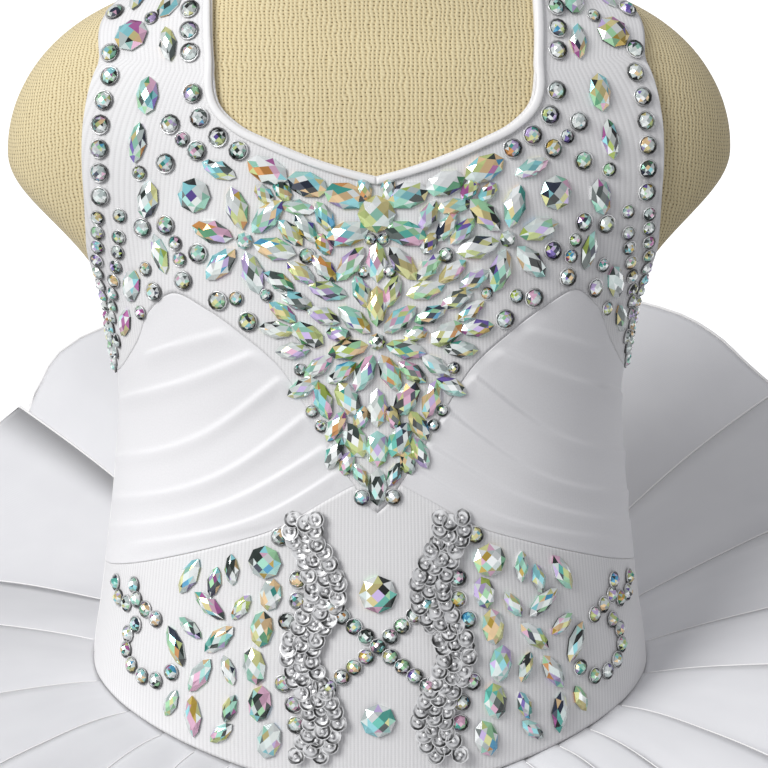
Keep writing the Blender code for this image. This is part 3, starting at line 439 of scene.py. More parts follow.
def grid_faces(rows, columns, round_it=False, flip=False):
    """Four-sided faces of a grid of points, closed round its columns where asked."""
    row = np.arange(rows - 1)[:, None]
    at = np.arange(columns if round_it else columns - 1)[None, :]
    after = (at + 1) % columns
    faces = np.stack([row * columns + at, row * columns + after, (row + 1) * columns + after,
                      (row + 1) * columns + at], axis=-1).reshape(-1, 4)
    return faces[:, ::-1] if flip else faces


def cloth_wall(obj, thickness):
    """Gives a sheet its wall, on the body's side."""
    wall = obj.modifiers.new("wall", "SOLIDIFY")
    wall.thickness = thickness * MM
    wall.offset = -1


def tubes(paths, radii):
    """Points and faces of round cords along paths of like count: each ring stands square to its path."""
    paths = np.asarray(paths, float)
    many, count = paths.shape[:2]
    along = np.gradient(paths, axis=1)
    along /= np.maximum(np.linalg.norm(along, axis=-1, keepdims=True), 1e-9)
    helper = np.where(np.abs(along[..., 2:]) < UPRIGHT, (0.0, 0.0, 1.0), (1.0, 0.0, 0.0))
    across = np.cross(along, helper)
    across /= np.linalg.norm(across, axis=-1, keepdims=True)
    up = np.cross(across, along)
    turn = np.arange(TUBE_SIDES) * 2 * math.pi / TUBE_SIDES
    radii = np.broadcast_to(radii, (many, count))[..., None, None]
    ring = across[..., None, :] * np.cos(turn)[:, None] + up[..., None, :] * np.sin(turn)[:, None]
    points = paths[..., None, :] + ring * radii
    faces = grid_faces(count, TUBE_SIDES, True)
    faces = np.concatenate([faces + i * count * TUBE_SIDES for i in range(many)])
    return points.reshape(-1, 3), faces


# Finishes. Pitches and depths are in millimetres


def flat_cut(tree):
    """The flat cut's two directions in millimetres."""
    flat = node(tree, "ShaderNodeUVMap", uv_map="cut")
    apart = node(tree, "ShaderNodeSeparateXYZ", {0: flat.outputs[0]})
    return [calc(tree, "MULTIPLY", apart.outputs[i], CUT_UNIT) for i in (0, 1)]


def calc(tree, operation, *values):
    """The result of one sum on numbers and other nodes' outputs."""
    return node(tree, "ShaderNodeMath", dict(enumerate(values)), operation=operation).outputs[0]


def wave(tree, along, pitch):
    """A sine of the given pitch along a direction, from -1 to 1."""
    return calc(tree, "SINE", calc(tree, "MULTIPLY", along, 2 * math.pi / pitch))


def noise(tree, place, scale, detail=2.0, **more):
    """Smooth noise, from 0 to 1, at a place."""
    return node(tree, "ShaderNodeTexNoise", {"Vector": place, "Scale": scale, "Detail": detail, **more}).outputs[0]


def cut_noise(tree, girth, height, scale, detail=2.0):
    """Smooth noise over the flat cut, with this many spots to a millimetre."""
    return noise(tree, node(tree, "ShaderNodeCombineXYZ", {0: girth, 1: height}).outputs[0], scale, detail)


def grain_of(tree, scale, detail=2.0, **more):
    """Smooth noise in the object, drawn out by a scale along each axis."""
    place = node(tree, "ShaderNodeTexCoord").outputs["Object"]
    drawn = node(tree, "ShaderNodeMapping", {"Vector": place, "Scale": scale}).outputs[0]
    return noise(tree, drawn, 1.0, detail, **more)


def ramp(tree, value, low, high, first=0.0, last=1.0):
    """A range of values carried to another range, and held at its ends."""
    return node(tree, "ShaderNodeMapRange", {0: value, 1: low, 2: high, 3: first, 4: last}).outputs[0]


def blend(tree, share, first, second, **settings):
    """Two colours mixed by a share, each a hex colour or another node's output."""
    first, second = (linear(c) if isinstance(c, str) else c for c in (first, second))
    ends = {"Factor": share, 6: first, 7: second}
    return node(tree, "ShaderNodeMix", ends, data_type="RGBA", **settings).outputs[2]


def link(tree, shader, colour, strength=0, depth=0, height=None):
    """Gives a shader its colour and, where it has relief, a bump of that depth."""
    tree.links.new(colour, shader.inputs["Base Color"])
    if height is not None:
        bump = node(tree, "ShaderNodeBump", {"Strength": strength, "Distance": depth * MM, "Height": height})
        tree.links.new(bump.outputs[0], shader.inputs["Normal"])


CORD_PITCH, CORD_THREAD = 1.3, 0.75
CREPE_THREAD = 0.7
ORGANZA_THREAD = 0.9
RIB_PITCH, STITCH_PITCH = 1.6, 1.3


def corded_faille():
    """Polyester faille, woven with raised cords 1.3 mm apart: white, dull satin, fine lines in the light. The relief
    is a sine round the body for the cords and a quarter as much of a finer upright one for the threads. The colour is
    painted darker where the relief is low, as painted shade between the cords."""
    made, tree, shader = shader_of("corded_polyester_faille", "f6f5f4", 0.62, Sheen_Weight=0.15)
    girth, height = flat_cut(tree)
    relief = calc(tree, "MULTIPLY_ADD", wave(tree, height, CORD_THREAD), 0.25, wave(tree, girth, CORD_PITCH))
    # Painted shade: the colour is darker where the cords' relief is low
    link(tree, shader, blend(tree, ramp(tree, relief, -1.25, 0.2), "e2e1e1", "f0efef"), 0.16, 0.12, relief)
    return made


def crepe_chiffon():
    """Polyester chiffon over satin, laid in pleats by hand: white, soft, with a very fine crepe grain. The relief is
    noise with a fifth as much of a sine for the threads."""
    made, tree, shader = shader_of("crepe_chiffon_over_satin", "f7f6f6", 0.58, Sheen_Weight=0.2)
    girth, height = flat_cut(tree)
    grain = cut_noise(tree, girth, height, 1.6, 3.0)
    relief = calc(tree, "MULTIPLY_ADD", wave(tree, girth, CREPE_THREAD), 0.2, grain)
    link(tree, shader, blend(tree, grain, "ebeaeb", "f6f5f6"), 0.18, 0.1, relief)
    return made


def organza():
    """Stiff polyester organza, cut in petals with a heat-rolled hem: cool white with a faint even weave, which is
    the sum of a sine each way."""
    made, tree, shader = shader_of("polyester_organza", "f4f5f9", 0.55, Sheen_Weight=0.15)
    girth, height = flat_cut(tree)
    mist = cut_noise(tree, girth, height, 0.03)
    relief = calc(tree, "ADD", wave(tree, girth, ORGANZA_THREAD), wave(tree, height, ORGANZA_THREAD))
    link(tree, shader, blend(tree, mist, "d7d7da", "e4e4e6"), 0.08, 0.06, relief)
    return made


def satin():
    """Polyester satin, woven with long floats: smooth white with a soft broad highlight."""
    made, tree, shader = shader_of("polyester_satin", "f7f6f5", 0.42, Sheen_Weight=0.1)
    grain = grain_of(tree, (900.0, 900.0, 90.0))
    link(tree, shader, blend(tree, grain, "efeeee", "fbfaf9"), 0.12, 0.05, grain)
    return made


def rib_jersey():
    """Cotton rib jersey stretched over the form: cream ribs with a pinhole at every stitch between them, painted dark
    as painted shade. A rib is a sine round the body and a stitch a sine up it, and a hole is where their sum is
    lowest.
    The valleys between the ribs are painted darker, as painted shade. Each stitch leans by a sine along a slant, with
    painted shade on one side of it, and noise bends the ribs and fades some holes."""
    made, tree, shader = shader_of("cotton_rib_jersey", "e9d9ac", 0.92, Sheen_Weight=0.1)
    girth, height = flat_cut(tree)
    patch = cut_noise(tree, girth, height, 0.6, 1.0)
    girth = calc(tree, "MULTIPLY_ADD", cut_noise(tree, girth, height, 0.22), 2.2, girth)
    rib, stitch = wave(tree, girth, RIB_PITCH), wave(tree, height, STITCH_PITCH)
    lean = wave(tree, calc(tree, "MULTIPLY_ADD", girth, STITCH_PITCH / RIB_PITCH, height), STITCH_PITCH)
    hole = ramp(tree, calc(tree, "ADD", rib, stitch), -1.0, -1.75)
    # Painted shade: the valleys between the ribs are painted darker
    valley_painted_shade = ramp(tree, rib, 0.3, -1.0, 0.0, 0.55)
    cream = blend(tree, valley_painted_shade, "f0e2b8", "cdb583")
    # Painted shade: one side of each leaning stitch is painted darker
    cream = blend(tree, ramp(tree, lean, -1.0, 1.0, 0.0, 0.28), cream, "b79d68")
    # Painted shade: the pinholes are painted dark, faded in patches by noise
    hole_painted_shade = calc(tree, "MULTIPLY", hole, ramp(tree, patch, 0.3, 0.7, 0.35, 1.0))
    relief = calc(tree, "MULTIPLY_ADD", lean, 0.3, rib)
    deep = calc(tree, "MULTIPLY_ADD", hole, -2.0, relief)
    link(tree, shader, blend(tree, hole_painted_shade, cream, "5f4f2f"), 0.35, 0.2, deep)
    return made


def coated_crystal():
    """Cut glass with a thin rainbow coating: each facet takes its own tint of the coating, and a few are painted dark
    as painted dark reflections.
    """
    made, tree, shader = shader_of("coated_cut_crystal", "ffffff", 0.07, Metallic=0.35, Coat_Weight=0.6,
                                   Coat_Roughness=0.03, IOR=1.6)
    link(tree, shader, node(tree, "ShaderNodeAttribute", attribute_name=TINT_AND_PAINTED_LIGHT).outputs["Color"])
    return made


def silver(name, roughness):
    """Silver-plated brass, stamped and polished: bright, with a painted dark bow on one side, painted shade and a
    painted reflection of nothing lit. The painted light and shade level stored at each point is multiplied by a faint
    grain."""
    made, tree, shader = shader_of(name, "d9d9dc", roughness, Metallic=0.3)
    # The painted light and shade level of each point
    level = node(tree, "ShaderNodeAttribute", attribute_name=TINT_AND_PAINTED_LIGHT).outputs["Color"]
    plain = blend(tree, grain_of(tree, (700.0, 700.0, 700.0)), "dcdcdd", "ffffff")
    link(tree, shader, blend(tree, 1.0, plain, level, blend_type="MULTIPLY"))
    return made


def beech():
    """Beech, turned, sanded and waxed: pale pinkish brown with short dark flecks along the grain."""
    made, tree, shader = shader_of("waxed_turned_beech", "c69c6d", 0.42, Coat_Weight=0.15)
    rings = grain_of(tree, (12.0, 130.0, 130.0), 5.0, Distortion=0.6)
    dark = ramp(tree, grain_of(tree, (120.0, 1100.0, 1100.0)), 0.6, 0.72, 0.0, 0.5)
    brown = blend(tree, rings, "b98a5b", "dcb88c")
    link(tree, shader, blend(tree, dark, brown, "8a5f3a"), 0.15, 0.1, rings)
    return made


def brushed_steel():
    """Stainless steel tube, brushed along its length: grey with fine upright lines."""
    made, tree, shader = shader_of("brushed_stainless_steel", "b8b9bc", 0.34, Metallic=1.0)
    brush = grain_of(tree, (2500.0, 2500.0, 12.0))
    link(tree, shader, blend(tree, brush, "9b9ca0", "cfd0d3"), 0.1, 0.02, brush)
    return made


make_camera()
make_studio()
FAILLE = corded_faille()
CREPE = crepe_chiffon()
ORGANZA = organza()
SATIN = satin()
JERSEY = rib_jersey()
CRYSTAL = coated_crystal()
CUP_SILVER = silver("silver_plated_cup", 0.22)
SEQUIN_SILVER = silver("silver_foil_sequin", 0.3)
BEECH = beech()
STEEL = brushed_steel()


# The form and its stand

FORM_COLUMNS = 281
FORM_EASE = 0.42  # the columns lie closer at the sides, where the body turns fastest
FORM_FOOT, FORM_SHOWN, FORM_TOP = 252, 440, 620  # the form shows above the middle height
FORM_ROWS = (50, 110)
END_RINGS = (0.02, 0.5)


def closed_ends(rings, shares):
    """A tube's rings with smaller ones, of these shares of the first and the last, that close its ends."""
    first, last = rings[:1], rings[-1:]
    foot, top = first.mean(axis=1, keepdims=True), last.mean(axis=1, keepdims=True)
    return np.concatenate([*[foot + (first - foot) * s for s in shares], rings,
                           *[top + (last - top) * s for s in shares[::-1]]])


def make_form():
    """The form's jersey cover: a fine grid on the form's surface. The ribs keep their pitch round the body, so the
    cut's width is the length round each level, and its height the length up each line."""
    turn = np.linspace(-180, 180, FORM_COLUMNS)
    angles = turn + FORM_EASE * np.degrees(np.sin(2 * np.radians(turn))) / 2
    heights = np.concatenate([np.linspace(FORM_FOOT, FORM_SHOWN, FORM_ROWS[0])[:-1],
                              np.linspace(FORM_SHOWN, FORM_TOP, FORM_ROWS[1])])
    grid = on_body(angles[None, :], heights[:, None], 0)
    runs = np.linalg.norm(np.diff(grid, axis=1), axis=-1)
    girth = np.concatenate([np.zeros((len(heights), 1)), np.cumsum(runs, axis=1)], axis=1)
    middle = FORM_COLUMNS // 2
    girth -= girth[:, middle : middle + 1]
    rises = np.linalg.norm(np.diff(grid, axis=0), axis=-1)
    height = np.concatenate([np.zeros((1, len(angles))), np.cumsum(rises, axis=0)], axis=0)
    points = closed_ends(grid, END_RINGS)
    cuts = np.stack([girth, height], axis=-1)
    cuts = np.concatenate([cuts[:1], cuts[:1], cuts, cuts[-1:], cuts[-1:]])
    form_cover = add_piece("form_jersey", points, grid_faces(*points.shape[:2]), JERSEY, cuts)
    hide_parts("form_torso")


def finish_stand():
    """The stand's solids keep their shape and get their real finishes."""
    for name, finish, slot in (("stand_base", BEECH, "beech_wood"), ("stand_collar", BEECH, "beech_wood"),
                               ("neck_cap", BEECH, "beech_wood"), ("stand_pole", STEEL, "steel")):
        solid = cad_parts[name]
        solid.data.materials.clear()
        solid.data.materials.append(finish)


# The bodice's cloth

NECK_RUNGS = 50
ROOT_RUNGS = 34
ARM_RUNGS = 50
TIP_POINTS = 12
LOWER_POINTS = 140
YOKE_COLUMNS = 46
STRAP_ROWS = 74
STRAP_START = 2.5  # the strap's second row stands this far above its root
STRAP_CUT = (72.7, 548)  # girth and height at which the cut of the strap begins
NECK_FOOT = 66.0  # girth on the lower seam under the neckline's end
ROOT_FOOT = 81.0  # and under the armhole's top


def yoke_grid():
    """Flat points of the yoke's right half. Rungs run down to the lower seam from the neckline, then from the
    strap's root, then from the armhole."""
    neck, arm = flat_line(NECKLINE, NECK_RUNGS), flat_line(ARMHOLE, ARM_RUNGS)
    root = np.linspace(neck[-1], arm[0], ROOT_RUNGS)
    head = np.concatenate([neck, root[1:], arm[1:]])
    lower = np.concatenate([flat_line(YOKE_TIP, TIP_POINTS), flat_line(YOKE_LOWER, LOWER_POINTS)[1:]])
    at = shares_along(lower)
    first, second = np.interp([NECK_FOOT, ROOT_FOOT], lower[:, 0], at)
    share = np.concatenate([np.linspace(0, first, NECK_RUNGS), np.linspace(first, second, ROOT_RUNGS)[1:],
                            np.linspace(second, 1, ARM_RUNGS)[1:]])
    foot = np.stack([np.interp(share, at, lower[:, i]) for i in (0, 1)], axis=-1)
    return between(head, foot, np.linspace(0, 1, YOKE_COLUMNS)[None, :, None])


def make_halter():
    """Yoke and straps in one cloth: the yoke mirrored about centre front, and each strap grown from its root."""
    flat = yoke_grid()
    flat = np.concatenate([flat[:0:-1] * (-1, 1), flat])
    rows, columns = flat.shape[:2]
    points, cuts = [on_bodice(flat, OUTSIDE).reshape(-1, 3)], [flat.reshape(-1, 2)]
    faces, count = [grid_faces(rows, columns)], rows * columns
    length, across = np.linspace(STRAP_START, STRAP_LENGTH, STRAP_ROWS), np.linspace(0, STRAP_WIDTH, ROOT_RUNGS)
    strap = np.stack(np.broadcast_arrays(length[:, None], across), -1)
    for side in (1, -1):
        root = (rows // 2 + side * np.arange(NECK_RUNGS - 1, NECK_RUNGS + ROOT_RUNGS - 1)) * columns
        points.append(on_strap(side)(strap, OUTSIDE).reshape(-1, 3))
        cuts.append(((strap[..., ::-1] + STRAP_CUT) * (side, 1)).reshape(-1, 2))
        grown = np.concatenate([root[None], count + np.arange(strap[..., 0].size).reshape(strap.shape[:2])])
        faces.append(grown.ravel()[grid_faces(*grown.shape, flip=side < 0)])
        count += strap[..., 0].size
    halter = add_piece("halter_front", np.concatenate(points), np.concatenate(faces), FAILLE, np.concatenate(cuts))
    cloth_wall(halter, WALL)
    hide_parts("yoke_front", "strap_left", "strap_right")


PLEAT_RISE = 0.4
PLEAT_POINTS = 40
PLEAT_SLOPE = 4.4  # how far below its edge a pleat falls off
PLEAT_DROP = 0.8  # and how far above it
PLEAT_ENDS = (-0.25, 1.12)  # where it ends, as shares of its line
PLEAT_FADE = 0.3
Drift = namedtuple("Drift", "lift girth_pace height_pace second_pace second_start")
MIDRIFF_DRIFT = Drift(0.2, 0.11, 0.07, 0.19, 1.3)
DRIFT_START, DRIFT_FADE = 15, 30
MIDRIFF_POINTS = 150
MIDRIFF_INSET = 0.0012  # share by which the cloth keeps clear of each seam
MIDRIFF_EDGE = 14


def pleat_relief(flat):
    """How far pleats lift the midriff's cloth: each rises softly from below to its edge and falls off above it, as a
    bell of the distance from that edge. The product of two sines adds a slight drift."""
    girth, height = np.abs(flat[..., 0]), flat[..., 1]
    lift = np.zeros_like(girth)
    for pleat in PLEATS:
        line = flat_line(pleat[:3], PLEAT_POINTS)
        edge = np.interp(girth, line[:, 0], line[:, 1])
        share = (girth - line[0, 0]) / (line[-1, 0] - line[0, 0])
        full = np.clip(np.minimum(share - PLEAT_ENDS[0], PLEAT_ENDS[1] - share) / PLEAT_FADE, 0, 1)
        above = height - edge
        ridge = np.exp(-((above / np.where(above > 0, PLEAT_DROP, PLEAT_SLOPE)) ** 2))
        lift = np.maximum(lift, PLEAT_RISE * pleat.depth * smooth_share(full) * ridge)
    wide = MIDRIFF_DRIFT
    drift = wide.lift * np.sin(girth * wide.girth_pace + height * wide.height_pace)
    drift = drift * np.sin(height * wide.second_pace + wide.second_start)
    return lift + drift * smooth_share((girth - DRIFT_START) / DRIFT_FADE)


def make_midriff(side, label):
    """A midriff side between the yoke's seam and the basque's, with its hand-laid pleats."""
    lower, top = flat_line(YOKE_LOWER, MIDRIFF_POINTS), flat_line(BASQUE_TOP, MIDRIFF_POINTS)
    across = np.linspace(MIDRIFF_INSET, 1 - MIDRIFF_INSET, MIDRIFF_POINTS)[None, :, None]
    flat = between(lower, top, across)
    edge = np.minimum(across[..., 0], 1 - across[..., 0]) * MIDRIFF_EDGE
    relief = pleat_relief(flat) * smooth_share(edge)
    flat = flat * (side, 1)
    points = on_bodice(flat, OUTSIDE + relief)
    midriff = add_piece(f"midriff_{label}_pleated", points, grid_faces(*points.shape[:2], flip=side < 0), CREPE, flat)
    cloth_wall(midriff, WALL)
    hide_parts("midriff_" + label)


BASQUE_POINTS = (10, 90)  # along the tip and along the rest of its top
BASQUE_ROWS = 70


def make_basque():
    """The basque's front between its top seam and the waist seam."""
    top = np.concatenate([flat_line(YOKE_TIP, BASQUE_POINTS[0]), flat_line(BASQUE_TOP, BASQUE_POINTS[1])[1:]])
    top = np.concatenate([top[:0:-1] * (-1, 1), top])
    hem = np.stack([top[:, 0], seam_height(top[:, 0] / GIRTH) - HEM_LAP], axis=-1)
    flat = between(top, hem, np.linspace(0, 1, BASQUE_ROWS)[None, :, None])
    points = on_bodice(flat, OUTSIDE)
    basque = add_piece("basque_front_corded", points, grid_faces(*points.shape[:2]), FAILLE, flat)
    cloth_wall(basque, WALL)
    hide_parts("basque_front")


BACK_POINTS, BACK_ROWS = 90, 60
BACK_LIFT = 0.2
BACK_DRIFT = Drift(0.2, 0.02, 0.16, 0.025, 129)


def make_back(side, label):
    """A back panel, from the side seam to centre back, with a slight ripple: the product of two sines."""
    top = flat_line(BACK_TOP, BACK_POINTS)
    hem = np.stack([top[:, 0], np.full(len(top), WAIST_SEAM - HEM_LAP)], axis=-1)
    flat = between(top, hem, np.linspace(0, 1, BACK_ROWS)[None, :, None]) * (side, 1)
    wide = BACK_DRIFT
    ripple = wide.lift * np.sin(flat[..., 1] * wide.height_pace + flat[..., 0] * wide.girth_pace)
    ripple = ripple * np.sin((np.abs(flat[..., 0]) - wide.second_start) * wide.second_pace)
    points = on_bodice(flat, OUTSIDE + BACK_LIFT + ripple)
    back = add_piece(f"back_{label}_panel", points, grid_faces(*points.shape[:2], flip=side < 0), SATIN, flat)
    cloth_wall(back, WALL)
    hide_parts("back_" + label)


make_form()
finish_stand()
make_halter()
for hand, hand_name in ((1, "right"), (-1, "left")):
    make_midriff(hand, hand_name)
    make_back(hand, hand_name)
make_basque()


# Stones, cups, beads and sequins. The large stones are those of the part's source; the small ones are laid by rule

Stone = namedtuple("Stone", "shape girth height length width turn rise")
ROUND, OVAL, LEAF = "round", "oval", "leaf"
CENTRE_STONES = table(
    Stone, (ROUND, 0, 503.5, 12.8, 12.8, 0, 3.4), (LEAF, 0, 487.5, 14, 7.5, 90, 2.6),
    (OVAL, 0, 411.5, 12.8, 6.5, 90, 2.8), (OVAL, 0, 424.5, 12.6, 8, 90, 2.8), (LEAF, 0, 438.5, 13.6, 7.3, 90, 2.6),
)
HALF_STONES = table(
    Stone, (OVAL, 13.5, 509.5, 15, 9, 12, 3.0), (OVAL, 12.5, 497, 15, 8.4, -14, 3.0),
    (LEAF, 11, 487, 14.6, 7.2, -52, 2.6), (OVAL, 30, 513.2, 14, 8.6, 16, 3.0), (OVAL, 46, 517.5, 15, 9, 24, 3.0),
    (LEAF, 33, 505.5, 11.8, 5.8, 8, 2.4), (ROUND, 70, 508, 11.8, 11.8, 0, 3.2), (LEAF, 63, 517, 13, 6.4, 20, 2.4),
    (OVAL, 89, 539.5, 13, 7.8, 90, 2.8), (LEAF, 88, 524, 14, 6.6, 96, 2.4), (OVAL, 84, 505, 13, 7.8, 100, 2.6),
    (LEAF, 80, 487, 14, 6.6, 70, 2.4), (OVAL, 91, 474, 13, 7.8, 112, 2.6), (LEAF, 97, 459.5, 13, 6.6, 122, 2.4),
    (LEAF, 20, 478, 13.6, 6.8, 14, 2.4), (OVAL, 27.4, 463.2, 12.6, 7.4, 30, 2.8),
    (LEAF, 23, 452.5, 12, 6, -38, 2.6), (OVAL, 11.5, 441.5, 13.3, 7.7, 62, 2.8), (LEAF, 21, 441, 13.8, 6.8, 74, 2.4),
    (OVAL, 8.6, 427.5, 13, 7.7, 66, 2.6), (LEAF, 6.6, 415.8, 9.5, 4.8, 62, 2.2),
    (LEAF, 37, 470.5, 11.3, 5.6, 34, 2.4),
)
Flower = namedtuple("Flower", "girth height petals reach length width first_turn")
HALF_FLOWER = Flower(52, 494, 6, 11.2, 15, 8, 12)
CENTRE_FLOWER = Flower(0, 461, 7, 11.8, 14, 7.2, 90)
FLOWER_EYE = 5.8
FLOWER_RISE = 3.0
BASQUE_CENTRE_STONES = table(Stone, (ROUND, 0, 375, 13, 13, 0, 3.4), (ROUND, 0, 331, 12, 12, 0, 3.2))
BASQUE_HALF_STONES = table(
    Stone, (ROUND, 40, 385, 11.6, 11.6, 0, 3.2), (OVAL, 37.5, 374, 11.4, 7.6, 100, 2.8),
    (OVAL, 40, 362, 12.8, 8, 96, 2.8), (OVAL, 42, 349, 13.2, 8.2, 82, 2.8), (OVAL, 40, 336, 13.2, 8.2, 98, 2.8),
    (OVAL, 37, 323, 13.6, 8.4, 104, 2.8), (LEAF, 66, 377, 15, 6.7, -62, 2.6), (LEAF, 58, 368, 14.4, 6.4, 34, 2.6),
    (LEAF, 54, 357, 14.6, 6.8, -44, 2.6), (LEAF, 69, 352, 15, 6.8, 62, 2.6), (LEAF, 60, 343.5, 15, 6.8, -58, 2.6),
    (LEAF, 62, 328.5, 15, 6.8, 88, 2.6),
)
STRAP_STONES = table(
    Stone, (ROUND, 11, 25, 12, 12, 0, 3.2), (LEAF, 9, 13.6, 13, 6.4, 4, 2.4), (OVAL, 25, 14, 13, 7.6, -24, 2.6),
    (LEAF, 27, 27, 13, 6.4, 10, 2.4), (OVAL, 42, 19, 13, 7.6, 14, 2.6),
)
CUT_CORNERS = 8
CUT_FACETS = 4 * CUT_CORNERS + 1
CUT_RINGS = ((0.95, 0.0), (1.0, 0.3), (0.66, 0.76))  # size and height of the foot, the girdle and the crown
TABLE_SIZE = 0.36
LEAF_FULLNESS = 2.5


def mirrored(stones):
    """The stones' mirror images about centre front."""
    return [s._replace(girth=-s.girth, turn=180 - s.turn) for s in stones]


def flower_stones(flower, side):
    """A flower's petals round its round eye."""
    stones = [Stone(ROUND, flower.girth * side, flower.height, FLOWER_EYE, FLOWER_EYE, 0, FLOWER_RISE)]
    for petal in range(flower.petals):
        turn = flower.first_turn + 360 * petal / flower.petals
        angle = math.radians(turn)
        stones.append(Stone(
            LEAF, (flower.girth + flower.reach * math.cos(angle)) * side,
            flower.height + flower.reach * math.sin(angle), flower.length, flower.width,
            turn if side > 0 else 180 - turn, FLOWER_RISE,
        ))
    return stones


def stone_outline(shape, turn):
    """Outline of a stone of half sizes one: a circle, or for a leaf two arcs whose width falls with the distance
    from its middle, to the power of LEAF_FULLNESS."""
    x, y = np.cos(turn), np.sin(turn)
    if shape == LEAF:
        y = np.sign(y) * (1 - np.abs(x) ** LEAF_FULLNESS)
    return np.stack([x, y], axis=-1)


def cut_stone(shape):
    """Points of a cut stone of half sizes and height one: foot and girdle, a crown ring turned by half a step, and
    a four-cornered table."""
    turn = np.arange(CUT_CORNERS) * 2 * math.pi / CUT_CORNERS
    rings = []
    for ring, (size, height) in enumerate(CUT_RINGS):
        flat = stone_outline(shape, turn + (turn[1] / 2 if ring == 2 else 0)) * size
        rings.append(np.column_stack([flat, np.full(CUT_CORNERS, height)]))
    flat = stone_outline(shape, turn[::2]) * TABLE_SIZE
    rings.append(np.column_stack([flat, np.ones(len(flat))]))
    return np.concatenate(rings)


def cut_faces():
    """Triangles of a cut stone, and the facet that each belongs to."""
    n = CUT_CORNERS
    i, k = np.arange(n), np.arange(n // 2)
    j, m = (i + 1) % n, (k + 1) % len(k)
    girdle, crown, top = n, 2 * n, 3 * n
    parts = [
        (np.stack([i, j, girdle + j], 1), i),
        (np.stack([i, girdle + j, girdle + i], 1), i),
        (np.stack([girdle + i, girdle + j, crown + i], 1), n + i),
        (np.stack([girdle + j, crown + j, crown + i], 1), 2 * n + i),
        (np.stack([crown + (2 * k - 1) % n, crown + 2 * k, top + k], 1), 3 * n + k),
        (np.stack([crown + 2 * k, crown + 2 * k + 1, top + m], 1), 3 * n + len(k) + k),
        (np.stack([crown + 2 * k, top + m, top + k], 1), 3 * n + len(k) + k),
        (np.array([[top, top + 1, top + 2], [top, top + 2, top + 3]]), np.full(2, 4 * n)),
    ]
    return [np.concatenate(columns) for columns in zip(*parts)]


def frames_on(place, flat, lift):
    """Where spots of the flat cut lie on the body, with the cloth's two directions and its outward one there."""
    flat = np.asarray(flat, float)
    middle = place(flat, lift)
    along = place(flat + (0.5, 0), lift) - place(flat - (0.5, 0), lift)
    up = place(flat + (0, 0.5), lift) - place(flat - (0, 0.5), lift)
    out = np.cross(along, up)
    out /= np.linalg.norm(out, axis=-1, keepdims=True)
    out *= np.sign((out * slope_of_form(middle)).sum(axis=-1, keepdims=True))
    along /= np.linalg.norm(along, axis=-1, keepdims=True)
    return middle, along, np.cross(out, along), out


def stamp(shape, faces, frames, sizes, turns, tilt=None):
    """The same small shape set at many frames: scaled to each half length, half width and height, tipped, turned,
    and moved. Returns points and faces."""
    middle, along, up, out = frames
    local = shape[None] * np.asarray(sizes, float)[:, None]
    if tilt is not None:
        local[..., 2] += local[..., 0] * tilt[:, :1] + local[..., 1] * tilt[:, 1:]
    turn = np.radians(np.asarray(turns, float))[:, None]
    x = local[..., 0] * np.cos(turn) - local[..., 1] * np.sin(turn)
    y = local[..., 0] * np.sin(turn) + local[..., 1] * np.cos(turn)
    points = (middle[:, None] + x[..., None] * along[:, None] + y[..., None] * up[:, None]
              + local[..., 2:] * out[:, None])
    faces = faces[None] + (np.arange(len(middle)) * len(shape))[:, None, None]
    return points.reshape(-1, 3), faces.reshape(-1, faces.shape[-1])


CLEAR_TINTS = ("f2f7f5", "fafdfc", "dfeae7", "cddad7", "eaf1ec")
SOFT_TINTS = ("a2dcc4", "93dbe2", "dfe09a", "c9b4e4", "eab8d2", "a9dfae", "edcb99", "c8d68a", "b4e9e0", "dccf8f")
STRONG_TINTS = ("3ca396", "d8954c", "b762a4", "7059b0", "acc255", "4fa9d4", "469667", "cbab42", "62c5b4")
# Painted dark reflections: tints for facets painted as if they mirrored nothing lit
PAINTED_DARK_REFLECTION_TINTS = ("26352f", "41504b", "232e45", "5c6663", "191f1e")
# Shares of clear, soft, strong and painted dark facets: on large stones, on small ones, on chains and on the stones'
# sides, where most are painted dark as painted shade
TINT_SHARES = (0.35, 0.46, 0.08, 0.11)
SMALL_SHARES = (0.5, 0.28, 0.07, 0.15)
CHAIN_SHARES = (0.4, 0.38, 0.08, 0.14)
SIDE_PAINTED_SHADE_SHARES = (0.2, 0.2, 0.05, 0.55)
OWN_TINT = 0.42  # share of facets that differ from their quarter
FACET_LEVELS = (0.8, 1.0)


def facet_tints(many, shares, rng):
    """A tint for each facet of each stone: clear, soft, strong or painted dark, a painted dark reflection. Each
    quarter of a stone has a tint that most of its facets share, as a coating's colour changes with the way that a
    facet faces.
    The sides' facets are mostly painted dark, as painted shade round the stone's edge."""
    groups = [np.array([linear(t)[:3] for t in tints]) for tints in
              (CLEAR_TINTS, SOFT_TINTS, STRONG_TINTS, PAINTED_DARK_REFLECTION_TINTS)]

    def pick(count, odds):
        choice = rng.choice(len(groups), size=(many, count), p=odds)
        tints = np.zeros((many, count, 3))
        for kind, group in enumerate(groups):
            picked = group[rng.integers(0, len(group), size=(many, count))]
            tints[choice == kind] = picked[choice == kind]
        return tints

    ring, corners = np.arange(CUT_CORNERS) // 2, np.arange(CUT_CORNERS // 2)
    quarter = np.concatenate([ring, ring, ring, corners, corners, [0]])
    shared, own = pick(len(corners), shares)[:, quarter], pick(CUT_FACETS, shares)
    tints = np.where(rng.random((many, CUT_FACETS, 1)) < OWN_TINT, own, shared)
    # Painted shade: the side facets take mostly painted dark tints
    tints[:, :CUT_CORNERS] = pick(CUT_CORNERS, SIDE_PAINTED_SHADE_SHARES)
    return tints * rng.uniform(*FACET_LEVELS, size=(many, CUT_FACETS, 1))


